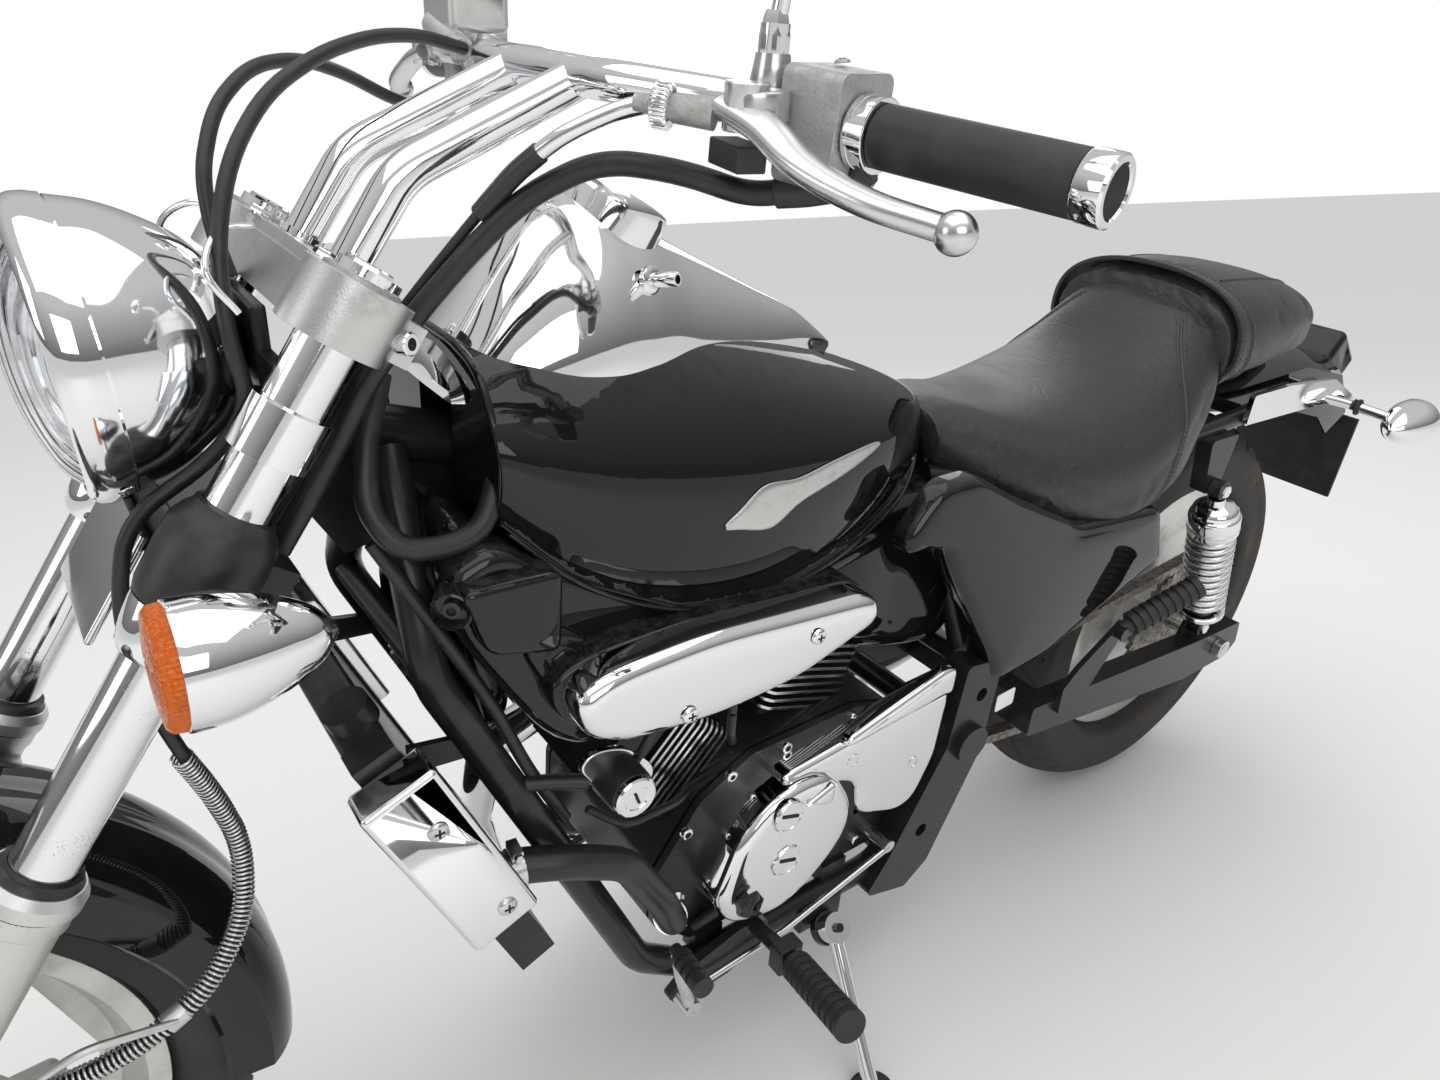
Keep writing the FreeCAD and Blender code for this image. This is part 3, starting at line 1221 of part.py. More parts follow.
def airbox():
    body = lofted([barrel(*row, 0.86, 0.82, 0.5) for row in AIRBOX], True)
    left = [plate([(x + 6 if x > 900 else x - 4, z) for x, z in TRIM], 84, 156, 9),
            side_cover(COVER, 76, 128, 12, (), 16)]
    left += [side_cover(outline, 100, high, 8, (), 10) for outline, high in COVER_PODS]
    tank, lowered = PIECES["fuel_tank"].Shape, PIECES["fuel_tank"].Shape.copy()
    lowered.translate(Vector(0, 0, -SEAT_GAP))
    made = fused([body] + left + [mirrored(pod) for pod in left]).cut(tank).cut(lowered)
    for blocker in ("front_cylinder", "frame"):
        made = made.cut(PIECES[blocker].Shape)
    piece("airbox", max(made.Solids, key=lambda part: part.Volume))


def airbox_trims():
    low = 156 + SEAT_GAP
    solid = plate(TRIM, low, 190, 10)
    outer = [e for e in solid.Edges if e.BoundBox.YMin > 189.9]
    piece("airbox_trims", both(solid.makeFillet(12, outer)))


# Tank

TANK = [(574, 30, 706, 744), (640, 84, 672, 776), (740, 124, 648, 812), (850, 145, 637, 846),
        (950, 147, 650, 866), (1040, 134, 696, 872), (1096, 116, 752, 862)]
"""Tank sections from the nose forwards: x, half width, seam height, top."""


def fuel_tank():
    """Teardrop shell with a tunnel over the backbone and a flange along its seam."""
    body = lofted([barrel(*row, 0.66, 0.9, 0.36) for row in TANK])
    tunnel = plate([(500, 560), (1240, 560), (1240, 850), (1100, 850), (1040, 800), (600, 728),
                    (500, 728)], -float(s.back_tube_r) - 10, float(s.back_tube_r) + 10)
    seam = lofted([barrel(x, half * 0.9 + 7, low - 2, low + 3, 0.99, 0.99, 0.5)
                   for x, half, low, high in TANK], True)
    piece("fuel_tank", body.fuse(seam).cut(tunnel))


CONSOLE = [(716, 12, 800, 828), (800, 34, 800, 872), (890, 62, 812, 912), (975, 84, 826, 950),
           (1024, 84, 826, 926), (1100, 62, 826, 860)]


def tank_console():
    """Bright instrument console along the top of the tank, its dial facing the rider."""
    body = lofted([barrel(*row, 0.5, 1.0, 0.3) for row in CONSOLE], True)
    tank = lofted([barrel(x, half, low, high + SEAT_GAP, 0.66, 0.9, 0.36) for x, half, low, high in TANK])
    made = body.cut(tank)
    piece("tank_console", max(made.Solids, key=lambda part: part.Volume))


# Cooling

CORE = Placement(front(1152, 0, 476), Rotation(Y, 24))
"""Radiator frame: z climbs its slope, x faces forwards."""


def radiator():
    """Core with its tanks, filler neck and stays to the down tubes."""
    t, half, tall = float(s.core_t), float(s.core_half), float(s.core_long)
    core = Part.makeBox(t - 6, 2 * half - 40, tall - 40, Vector(-t / 2 + 3, -half + 20, -tall / 2 + 20))
    tanks = [Part.makeBox(t, 2 * half, 26, Vector(-t / 2, -half, z)) for z in (tall / 2 - 26, -tall / 2)]
    sides = [Part.makeBox(t, 24, tall, Vector(-t / 2, y, -tall / 2)) for y in (half - 24, -half)]
    neck = tube(Vector(-4, 96, tall / 2 - 4), Vector(-4, 96, tall / 2 + 16), 18)
    parts = [part.makeFillet(4, part.Edges) for part in tanks]
    louvres = [Part.makeBox(4, 2 * half - 40, 3.2, Vector(t / 2 - 6, -half + 20, -tall / 2 + 30 + n * 12))
               for n in range(20)]
    whole = core.multiFuse(parts + sides + [neck] + louvres)
    whole.Placement = CORE
    horn = tube(front(1100, 78, 512), front(1142, 78, 502), 29)
    near, far = front(1122, 0, 0).x, front(1176, 0, 0).x
    stays = [plate([(near, 572), (near, 552), (far, 556), (far, 580)], y - 3, y + 3)
             for y in (-104, 104)]
    whole = whole.multiFuse(stays + [horn]).cut(PIECES["frame"].Shape)
    piece("radiator", max(whole.Solids, key=lambda part: part.Volume))


def radiator_guards():
    """Bright boxes over the ends of the radiator."""
    t = float(s.core_t)
    low = s.core_half + SEAT_GAP
    guard = Part.makeBox(t + 26, 34, 188, Vector(-t / 2 - 13, low, -48))
    guard = guard.makeFillet(5, guard.Edges)
    guard.Placement = CORE
    piece("radiator_guards", both(guard))


def coolant_hoses():
    """Fat hose from the radiator's foot round to the water pump, and the upper hose."""
    left = bent_tube([front(1140, 130, 446), front(1102, 136, 446), front(1066, 151, 444), (1010, 154, 414),
                      (966, 151, 340), (940, 138, 284), (926, 112, 262)], 15, 60)
    piece("coolant_hose", left.cut(PIECES["radiator"].Shape).cut(PIECES["crankcase"].Shape)
          .cut(PIECES["radiator_guards"].Shape))


# Exhaust

PIPES = [
    [(1004, -36, 452), (1046, -52, 420), (1052, -84, 300), (1016, -116, 150), (900, -160, 112),
     (640, -196, 146)],
    [(676, -62, 538), (604, -132, 505), (566, -192, 430), (520, -208, 346), (440, -208, 318)],
]
MUFFLERS = [((642, -196, 146), (-120, -226, 236)), ((442, -208, 318), (-150, -228, 342))]


def exhaust():
    """Two pipes swept to the right side, each with its own long muffler."""
    pipes = [bent_tube(route, s.pipe_r, 90) for route in PIPES]
    cyl = [PIECES["front_cylinder"].Shape, PIECES["rear_cylinder"].Shape]
    pipes = [p.cut(c) for p, c in zip(pipes, cyl)]
    pipes = [max(p.Solids, key=lambda q: q.Volume) for p in pipes]
    cans = []
    for start, end in MUFFLERS:
        start, end = Vector(*start), Vector(*end)
        way = (end - start).normalize()
        length = (end - start).Length
        can = turned([(0, s.pipe_r + 1), (70, s.muffler_r), (length, s.muffler_r)], Vector(0, 0, 0), Z)
        outlet = turned([(length - 60, 30), (length + 10, 30)], Vector(0, 0, 0), Z)
        can.Placement = Placement(start, Rotation(Z, way))
        outlet.Placement = can.Placement
        cans.append(can.cut(outlet))
    piece("exhaust", Part.makeCompound([fused(pair) for pair in zip(pipes, cans)]))


# Seats and side covers

RIDER = [(178, 138, 640, 786), (240, 160, 606, 742), (330, 164, 588, 716), (430, 140, 612, 712),
         (520, 96, 656, 730), (578, 50, 694, 744)]
PILLION = [(-186, 74, 728, 776), (-110, 108, 722, 806), (20, 130, 716, 834), (120, 132, 708, 838),
           (172, 122, 694, 820)]
"""Seat sections from back to front: x, half width, low, high."""


def raised(rows):
    """Seat sections lifted over the rear tyre."""
    return [(x, half, over_tyre(x, low), over_tyre(x, high)) for x, half, low, high in rows]


def seats():
    rider = lofted([barrel(*row, 0.7, 0.84, 0.4) for row in raised(RIDER)])
    well = plate([(150, 560), (150, over_tyre(150, SEAT_BASE)), (480, SEAT_BASE + 4),
                  (600, SEAT_BASE + 30), (640, 560)], -RAIL_ROOM, RAIL_ROOM)
    tank = PIECES["fuel_tank"].Shape
    piece("rider_seat", rider.cut(well).cut(tank))
    rows = raised(PILLION)
    pillion = lofted([barrel(*row, 0.7, 0.84, 0.4) for row in rows])
    piece("pillion_seat", pillion.cut(PIECES["rider_seat"].Shape))
    outer = lofted([barrel(x, half + 5, low, high + 5, 0.7, 0.84, 0.4) for x, half, low, high in rows])
    inner = lofted([barrel(x, half + 0.6, low - 2, high + 0.6, 0.7, 0.84, 0.4)
                    for x, half, low, high in rows])
    slab = Part.makeBox(34, 400, 200, Vector(112, -200, over_tyre(112, 724)))
    strap = slab.common(outer).cut(inner)
    piece("seat_strap", strap)


SEAT_BASE = 674.0
"""Height of the pans that the seats stand on, just over the rails."""
RAIL_ROOM = 136.0


SIDE_COVER = [(629, 672), (566, 566), (528, 462), (516, 424), (430, 430), (216, 510), (250, 590),
              (420, 606), (560, 672)]


SIDE_COVER_IN = 132.3
SIDE_COVER_BULGE = [(0, 1.0), (12, 0.99), (20, 0.95), (26, 0.86), (30, 0.7)]
"""Inner plane of the side cover, and its bulge as (distance out, share of the outline)."""


def side_covers():
    """Bulged panels under the seat."""
    centre = Vector(430, 0, 530)

    def ring(y, shrink):
        corners = [Vector(centre.x + (x - centre.x) * shrink, y, centre.z + (z - centre.z) * shrink)
                   for x, z in SIDE_COVER]
        return closed_outline(corners, 18 * shrink)

    panel = lofted([ring(SIDE_COVER_IN + out, shrink) for out, shrink in SIDE_COVER_BULGE], True)
    panel = panel.cut(PIECES["frame"].Shape).cut(PIECES["rider_seat"].Shape)
    piece("side_covers", both(max(panel.Solids, key=lambda part: part.Volume)))


# Rear fender and lamps

FENDER = [(160, 712, 0, 84, 40), (0, 706, 4, 88, 56), (-180, 712, 8, 90, 90), (-320, 678, 30, 88, 96),
          (-408, 594, 60, 82, 80)]
"""Rear fender sections from front to back: x, crown height, droop, half width, skirt."""


def fender_section(x, crown, droop, half, skirt, grow=0.0):
    half, top = half + grow, grow
    p = [Vector(0, half, -skirt), Vector(0, half, -24), Vector(0, half * 0.6, top - 5), Vector(0, 0, top)]
    q = [Vector(0, -v.y, v.z) for v in p]
    wire = Part.Wire([Part.LineSegment(q[0], p[0]).toShape(), Part.LineSegment(p[0], p[1]).toShape(),
                      Part.Arc(p[1], p[2], p[3]).toShape(), Part.Arc(p[3], q[2], q[1]).toShape(),
                      Part.LineSegment(q[1], q[0]).toShape()])
    wire.Placement = Placement(Vector(x, 0, over_tyre(x, crown)), Rotation(Y, -droop))
    return wire


def rear_fender():
    t = float(s.fender_t)
    outer = lofted([fender_section(*row) for row in FENDER], True)
    rows = [(x + (6 if n == 0 else 0) - (3 if n == len(FENDER) - 1 else 0),
             crown - t, droop, half - t, skirt + 8) for n, (x, crown, droop, half, skirt) in enumerate(FENDER)]
    inner = lofted([fender_section(*row) for row in rows], True)
    shell = outer.cut(inner).cut(PIECES["frame"].Shape)
    shell = shell.cut(PIECES["pillion_seat"].Shape).cut(PIECES["rider_seat"].Shape)
    piece("rear_fender", max(shell.Solids, key=lambda part: part.Volume))


def fender_struts():
    """Bright struts outside the seat rails that hold the rear fender."""
    low = float(s.strut_y)
    outline = [(74, 700), (74, 660), (-140, 656), (-262, 624), (-268, 636), (-150, 690), (-20, 700)]
    bar = plate([(x, over_tyre(x, z)) for x, z in outline], low, low + 7, 5)
    bolts = [tube(Vector(x, RAIL_OUTER + SEAT_GAP, over_tyre(x, z)), Vector(x, low + 1, over_tyre(x, z)), 7)
             for x, z in ((60, 662), (-140, 671))]
    stud = over_tyre(-240, 646)
    foot = tube(Vector(-240, 88.5, stud), Vector(-240, low + 1, stud), 6)
    bar = fused([bar, foot] + bolts).cut(PIECES["frame"].Shape).cut(PIECES["rear_fender"].Shape)
    bar = bar.cut(PIECES["pillion_seat"].Shape)
    piece("fender_struts", both(max(bar.Solids, key=lambda part: part.Volume)))


RAIL_OUTER = 131.0


def tail():
    """Lamp on the fender's tail, and the plate bracket that hangs below it."""
    grown = lofted([fender_section(*row, grow=SEAT_GAP) for row in FENDER], True)
    lamp = block((-381, 0, over_tyre(-381, 661)), (84, 104, 60), -40, 12).cut(grown)
    piece("tail_lamp", max(lamp.Solids, key=lambda part: part.Volume))
    bracket = plate([(-428, 566), (-422, 566), (-414, 428), (-420, 428)], -92, 92)
    arms = [plate([(-426, 566), (-420, 540), (-330, 610), (-336, 640)], side * 56 - 4, side * 56 + 4)
            for side in SIDES]
    whole = fused([bracket] + arms)
    whole.translate(Vector(0, 0, over_tyre(-420, 0)))
    whole = whole.cut(grown)
    piece("plate_bracket", max(whole.Solids, key=lambda part: part.Volume))


def rear_indicators():
    """Bullet housings on short stalks from the struts."""
    low = float(s.strut_y) + 7 + SEAT_GAP
    stalk = tube(Vector(-256, low, 632), Vector(-256, 186, 632), 7)
    bullet = turned([(0, 31), (12, 34), (36, 33), (58, 26), (78, 12)], Vector(0, 0, 0), Z)
    bullet.Placement = Placement(Vector(-306, 204, 622), Rotation(Y, 88))
    lens = turned([(0, 31), (9, 29), (12, 22)], Vector(0, 0, 0), Z)
    lens.Placement = Placement(Vector(-306 - SEAT_GAP, 204, 622), Rotation(Y, -92))
    housing = fused([stalk, bullet])
    pair = Part.makeCompound([housing, lens, mirrored(housing), mirrored(lens)])
    pair.translate(Vector(0, 0, over_tyre(-256, 0)))
    piece("rear_indicators", pair)


# Foot controls and stand

def peg(inner, outer, radius):
    """Ribbed rubber on its bar, from one end to the other."""
    inner, outer = Vector(*inner), Vector(*outer)
    length = (outer - inner).Length
    start, pitch, groove = 13.0, 11.0, 2.5
    profile = [(0, radius * 0.6), (start, radius * 0.6), (start, radius)]
    for n in range(int((length - start - 4) // pitch)):
        at = start + n * pitch
        profile += [(at + 7, radius), (at + 7.01, radius - groove), (at + pitch - 0.01, radius - groove),
                    (at + pitch, radius)]
    profile.append((length, radius))
    made = turned(profile, Vector(0, 0, 0), Z)
    made.Placement = Placement(inner, Rotation(Z, outer - inner))
    return made


PEG_PLATE = [(948, 186), (920, 212), (862, 230), (834, 232), (818, 220), (828, 190), (870, 172),
             (934, 166)]
"""Peg plate in side view as (x, z), bolted to the outside of the cradle tube."""


def foot_pegs():
    """Rider's pegs in clevises on plates, and the passenger's pegs on hangers."""
    low = CRADLE[3][1] + float(s.down_tube_r) + SEAT_GAP
    face = plate(PEG_PLATE, low, low + 10, 6)
    joint = tube(Vector(838, low + 8, 226), Vector(836, 200, 228), 9)
    clevis = block((836, 196, 228), (30, 20, 34), 0, 3)
    inner = Vector(837, 205, 230)
    outer = inner + Vector(0.2, 0.93, 0.3).normalize() * float(s.peg_long)
    bar = peg(tuple(inner), tuple(outer), float(s.peg_r))
    front = fused([face, joint, clevis]).cut(bar)
    arm_side = float(s.arm_y + s.arm_w / 2) + SEAT_GAP
    hanger = plate([(398, 384), (374, 406), (300, 452), (290, 440), (338, 372), (356, 344), (396, 346)],
                   arm_side, arm_side + 7, 4)
    rear_inner, rear_outer = Vector(304, 174, 442), Vector(214, 208, 496)
    knuckle = tube(Vector(308, arm_side + 5, 440), Vector(308, 184, 440), 9)
    rear = peg(tuple(rear_inner), tuple(rear_outer), 15.5)
    back = fused([hanger, knuckle]).cut(rear)
    piece("peg_hangers", Part.makeCompound([front, mirrored(front), back, mirrored(back)]))
    piece("foot_pegs", Part.makeCompound([bar, mirrored(bar), rear, mirrored(rear)]))


def foot_controls():
    """Shift lever ahead of the left peg, and the brake pedal on the right."""
    low = CRADLE[3][1] + float(s.down_tube_r) + 10 + 2 * SEAT_GAP
    shaft = tube(Vector(932, low, 182), Vector(932, low + 24, 182), 10)
    lever_ = bent_tube([(932, low + 18, 182), (948, low + 20, 236), (958, low + 22, 284)], 6, 30)
    toe = peg((958, low + 20, 286), (966, low + 78, 296), 10.5)
    rod = bent_tube([(925, low + 7, 190), (800, low + 7, 202), (650, low + 7, 244)], 3.5, 30)
    arm = tube(Vector(650, s.case_half + 4 + SEAT_GAP, 246), Vector(650, low + 9, 246), 8)
    pedal = bent_tube([(932, -low - 18, 182), (960, -low - 20, 214), (990, -low - 22, 262)], 7, 30)
    pad = block((992, -low - 30, 270), (46, 44, 12), -30, 3)
    piece("foot_controls", Part.makeCompound([fused([shaft, lever_, toe, rod, arm]),
                                              fused([mirrored(shaft), pedal, pad])]))


STAND_PIVOT = Vector(733, 165, 173)
STAND_SPREAD = math.radians(45)
STAND_PIN = Vector(0, math.cos(STAND_SPREAD), math.sin(STAND_SPREAD))
"""Stand's hinge: its leg points down and out when down, and straight back when up."""


def stand_foot():
    """Where the leg's centre line meets the floor of the leaned machine."""
    x = STAND_PIVOT.x + 32
    y = STAND_PIVOT.y
    slope = math.tan(LEAN)
    sink = LIFT / math.cos(LEAN)
    drop = STAND_PIVOT.z + sink - slope * y
    reach = drop / (slope + math.tan(STAND_SPREAD))
    return Vector(x, y + reach, STAND_PIVOT.z - reach * math.tan(STAND_SPREAD))


def side_stand():
    """Lug under the cradle, and the leg with its pad flat on the floor."""
    foot = stand_foot()
    way = (foot - STAND_PIVOT).normalize()
    floor = Vector(0, -math.sin(LEAN), math.cos(LEAN))
    knuckle = tube(STAND_PIVOT - STAND_PIN * 9, STAND_PIVOT + STAND_PIN * 9, 17)
    leg = tube(STAND_PIVOT + way * 8, foot + floor * 6 - way * 4, s.stand_r)
    pad = Part.makeCylinder(24, 6, foot, floor)
    bore = tube(STAND_PIVOT - STAND_PIN * 40, STAND_PIVOT + STAND_PIN * 40, PIN_R + SEAT_GAP)
    piece("side_stand", fused([knuckle, leg, pad]).cut(bore))


def stand_lug():
    """Lug welded to the outside of the left cradle tube, with the stand's pin."""
    pin = tube(STAND_PIVOT - STAND_PIN * 22, STAND_PIVOT + STAND_PIN * 14, PIN_R)
    low = CRADLE[3][1] + float(s.down_tube_r) - 6
    ear = Part.makeCylinder(19, 10, STAND_PIVOT - STAND_PIN * (9 + SEAT_GAP), -STAND_PIN)
    root = block((733, low + 6, 176), (62, 12, 34), 0, 3)
    bridge = tube(Vector(733, low + 4, 170), STAND_PIVOT - STAND_PIN * 14, 10)
    bridge = bridge.cut(Part.makeCylinder(60, 60, STAND_PIVOT - STAND_PIN * (9 + SEAT_GAP), STAND_PIN))
    return fused([root, ear, bridge, pin])


PIN_R = 5.0

# The whole machine

def assemble():
    for build in (front_wheel, front_tyre, brake_disc, rear_wheel, rear_tyre, rear_sprocket,
                  drive_chain, front_axle, fork, clamps, handlebar, grips, switch_housings, levers,
                  brake_reservoir, mirrors, headlamp, lamp_bracket, front_indicators, front_fender,
                  brake_caliper, cables, frame, swing_arm, rear_axle, shocks, crankcase):
        build()
    cylinder("front_cylinder", s.front_bank)
    cylinder("rear_cylinder", s.rear_bank)
    for build in (exhaust, engine_covers, ignition_lock, fuel_tank, airbox, airbox_trims,
                  tank_console, radiator, radiator_guards, coolant_hoses, seats, side_covers,
                  rear_fender, fender_struts, tail, rear_indicators, foot_pegs, foot_controls,
                  side_stand):
        build()


assemble()
DOC.recompute()

parked = Placement(Vector(0, 0, LIFT), Rotation(X, -float(s.lean)))


def stand_up(shift):
    for made in PIECES.values():
        made.Placement = shift.multiply(made.Placement)


stand_up(parked)
DOC.recompute()
outline = FreeCAD.BoundBox()
for made in PIECES.values():
    outline.add(made.Shape.optimalBoundingBox(False, False))
print("outline %.1f x %.1f x %.1f, from z %.2f" % (outline.XLength, outline.YLength, outline.ZLength,
                                                  outline.ZMin))
origin = Vector((outline.XMin + outline.XMax) / 2, (outline.YMin + outline.YMax) / 2, outline.ZMin)
stand_up(Placement(-origin, Rotation()))
DOC.recompute()
print("origin in the leaned frame: %.3f %.3f %.3f" % (origin.x, origin.y, origin.z))

bad = [made.Name for made in DOC.Objects if "Invalid" in made.State or "Error" in made.State]
bad += [name for name, made in PIECES.items() if made.Shape.isNull() or not made.Shape.isValid()]
if bad:
    raise ValueError("failed: " + ", ".join(bad))
os.makedirs("parts", exist_ok=True)
for name, made in PIECES.items():
    made.Shape.exportStep("parts/%s.step" % name)
print("%d pieces, %.1f litres" % (len(PIECES), sum(m.Shape.Volume for m in PIECES.values()) / 1e6))
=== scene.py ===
"""Finish of a parked cruiser motorcycle: plating, paint, castings, rubber, seat and tread.

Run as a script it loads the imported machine, dresses every piece and makes the stage.  New
surfaces are drawn upright in the machine's own frame, in millimetres: x forward from the rear
axle, y to the left, z up from the ground.  `machine` leans them onto the stand.
"""
import json
import math

import bmesh
import bpy
import numpy as np
from bpy.props import FloatProperty, FloatVectorProperty, IntProperty, PointerProperty
from mathutils import Matrix, Vector
from mathutils.bvhtree import BVHTree


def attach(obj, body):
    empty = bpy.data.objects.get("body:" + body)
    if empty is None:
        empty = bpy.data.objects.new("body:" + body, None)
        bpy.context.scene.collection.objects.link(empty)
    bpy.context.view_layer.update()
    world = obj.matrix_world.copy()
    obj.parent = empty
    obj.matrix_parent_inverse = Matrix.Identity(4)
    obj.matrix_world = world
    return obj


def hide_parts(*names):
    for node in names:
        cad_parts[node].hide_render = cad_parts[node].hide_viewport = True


bl_info = {
    "name": "Parked cruiser motorcycle",
    "version": (1, 0, 0),
    "blender": (4, 5, 0),
    "location": "3D View > Sidebar > Cruiser",
    "description": "Dresses the packed frame of a cruiser motorcycle with its finishes and soft parts",
    "category": "Object",
}

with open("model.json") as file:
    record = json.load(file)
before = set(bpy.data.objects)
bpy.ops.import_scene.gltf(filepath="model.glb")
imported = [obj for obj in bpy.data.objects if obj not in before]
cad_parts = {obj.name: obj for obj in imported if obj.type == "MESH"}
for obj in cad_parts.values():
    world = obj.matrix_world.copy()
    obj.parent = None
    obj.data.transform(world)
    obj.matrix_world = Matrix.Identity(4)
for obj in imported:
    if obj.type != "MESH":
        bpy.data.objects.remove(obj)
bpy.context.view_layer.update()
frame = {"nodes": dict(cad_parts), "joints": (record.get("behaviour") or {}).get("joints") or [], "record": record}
NODES = frame["nodes"]
JOINTS = {joint["name"]: joint for joint in frame["joints"]}
BODY_OF = {node: body for body, members in frame["record"]["behaviour"]["bodies"].items()
           for node in members}

# Where things are.  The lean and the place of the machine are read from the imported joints.
REAR_AXLE = np.array([0.0, 0.0, 310.0])
RAKE = math.radians(34)
UP = np.array([-math.sin(RAKE), 0.0, math.cos(RAKE)])
AHEAD = np.array([math.cos(RAKE), 0.0, math.sin(RAKE)])
LEAN = math.atan2(-JOINTS["rear_wheel_spin"]["axis"][2], JOINTS["rear_wheel_spin"]["axis"][1])
TURN = np.array([[1, 0, 0], [0, math.cos(LEAN), math.sin(LEAN)], [0, -math.sin(LEAN), math.cos(LEAN)]])
SHIFT = np.array(JOINTS["rear_wheel_spin"]["pos_m"]) - TURN @ REAR_AXLE / 1000
FRONT_AXLE = (np.array(JOINTS["front_wheel_spin"]["pos_m"]) - SHIFT) @ TURN * 1000
CHASSIS, STEERING, FRONT_WHEEL, REAR_WHEEL = "chassis", "steering_group", "front_wheel_group", "rear_wheel_group"
SIDES = (1, -1)
LEFT, RIGHT, STRAIGHT_UP = (0, 1, 0), (0, -1, 0), (0, 0, 1)
ALONG_UP = 0.97


def machine(points):
    """Machine millimetres to the leaned frame in metres."""
    return np.asarray(points, float) @ TURN.T / 1000 + SHIFT


def upright(points):
    """The leaned frame's metres back to machine millimetres."""
    return (np.asarray(points) - SHIFT) @ TURN * 1000


def on_fork(points):
    """Fork millimetres (ahead, left, up along the tubes from the axle) to machine millimetres."""
    p = np.asarray(points, float)
    return FRONT_AXLE + p[..., :1] * AHEAD + p[..., 1:2] * [0, 1, 0] + p[..., 2:] * UP


# Surfaces on grids

def smooth(points, count):
    """Curve through points: cubic Hermite pieces over chord length, tangents by central difference."""
    p = np.asarray(points, float)
    t = np.concatenate([[0], np.cumsum(np.linalg.norm(np.diff(p, axis=0), axis=1))])
    slope = np.gradient(p, t, axis=0)
    u = np.linspace(0, t[-1], count)
    k = np.clip(np.searchsorted(t, u, side="right") - 1, 0, len(t) - 2)
    h = (t[k + 1] - t[k])[:, None]
    w = ((u - t[k])[:, None]) / h
    return ((2 * w**3 - 3 * w**2 + 1) * p[k] + (w**3 - 2 * w**2 + w) * h * slope[k]
            + (3 * w**2 - 2 * w**3) * p[k + 1] + (w**3 - w**2) * h * slope[k + 1])


def rounded(corners, radius, steps):
    """Open outline with each inner corner replaced by an arc-like quadratic of the given reach."""
    p = np.asarray(corners, float)
    out = [p[0]]
    for a, b, c in zip(p, p[1:], p[2:]):
        reach_a = min(radius, np.linalg.norm(a - b) * 0.45)
        reach_c = min(radius, np.linalg.norm(c - b) * 0.45)
        start = b + (a - b) / np.linalg.norm(a - b) * reach_a
        end = b + (c - b) / np.linalg.norm(c - b) * reach_c
        t = np.linspace(0, 1, steps + 1)[:, None]
        out.extend((1 - t)**2 * start + 2 * t * (1 - t) * b + t**2 * end)
    return np.array(out + [p[-1]])


def unit(way):
    """A direction with length 1."""
    return np.asarray(way, float) / np.linalg.norm(way)


def units(ways):
    """Rows of directions, each with length 1."""
    return ways / np.linalg.norm(ways, axis=1)[:, None]


def basis(way, up=(0, 0, 1)):
    """Two unit vectors square to way, the second as near to up as can be, or to left where way is upright."""
    way = unit(way)
    up = np.asarray(up, float)
    if abs(way @ up) > ALONG_UP:
        up = np.array([0.0, 1.0, 0.0])
    side = np.cross(up, way)
    side /= np.linalg.norm(side)
    return side, np.cross(way, side)


def angles(steps):
    """Equal steps of a full turn."""
    return np.linspace(0, 2 * np.pi, steps, endpoint=False)


def turned(profile, at, way, steps=64, squash=1.0):
    """Surface of revolution: (along, radius) carried round the line from `at` along `way`.

    Its width across the first basis vector is multiplied by squash."""
    profile = np.asarray(profile, float)
    way = unit(way)
    a, b = basis(way)
    angle = angles(steps)
    ring = np.cos(angle)[:, None] * a * squash + np.sin(angle)[:, None] * b
    return np.asarray(at, float) + profile[:, :1, None] * way + profile[:, 1:, None] * ring


def swept(path, section, up=(0, 0, 1)):
    """Section (k, 2) or (n, k, 2) carried along a path of n points, its second axis near `up`."""
    path = np.asarray(path, float)
    way = units(np.gradient(path, axis=0))
    side = np.cross(np.broadcast_to(np.asarray(up, float), way.shape), way)
    side /= np.maximum(np.linalg.norm(side, axis=1), 1e-6)[:, None]
    top = np.cross(way, side)
    section = np.broadcast_to(np.asarray(section, float), (len(path),) + np.shape(section)[-2:])
    return path[:, None] + section[..., :1] * side[:, None] + section[..., 1:] * top[:, None]


def circle(radius, steps):
    """Points (k, 2) of a circle."""
    angle = angles(steps)
    return np.stack([radius * np.cos(angle), radius * np.sin(angle)], -1)


def tube(points, radius, count, steps=20, up=(0, 0, 1)):
    """Round tube on the smooth curve through points."""
    return swept(smooth(points, count), circle(radius, steps), up)


def oval(x, half, low, high, power=2.4, waist=0.45, steps=72):
    """Section in the plane x: a superellipse |y/half|^p + |z|^p = 1 whose widest line is at waist."""
    angle = angles(steps)
    c, n = np.cos(angle), np.sin(angle)
    y = half * np.sign(c) * np.abs(c)**(2 / power)
    level = low + (high - low) * waist
    rise = np.where(n > 0, high - level, level - low)
    return np.stack([np.full(steps, float(x)), y, level + rise * np.sign(n) * np.abs(n)**(2 / power)], -1)


def lofted(rows, count, **shape):
    """Ovals whose x, half width, low and high run smoothly through the rows."""
    return np.stack([oval(*row, **shape) for row in smooth(rows, count)])


def placed(name, data):
    """A new object of the scene."""
    made = bpy.data.objects.new(name, data)
    bpy.context.scene.collection.objects.link(made)
    return made


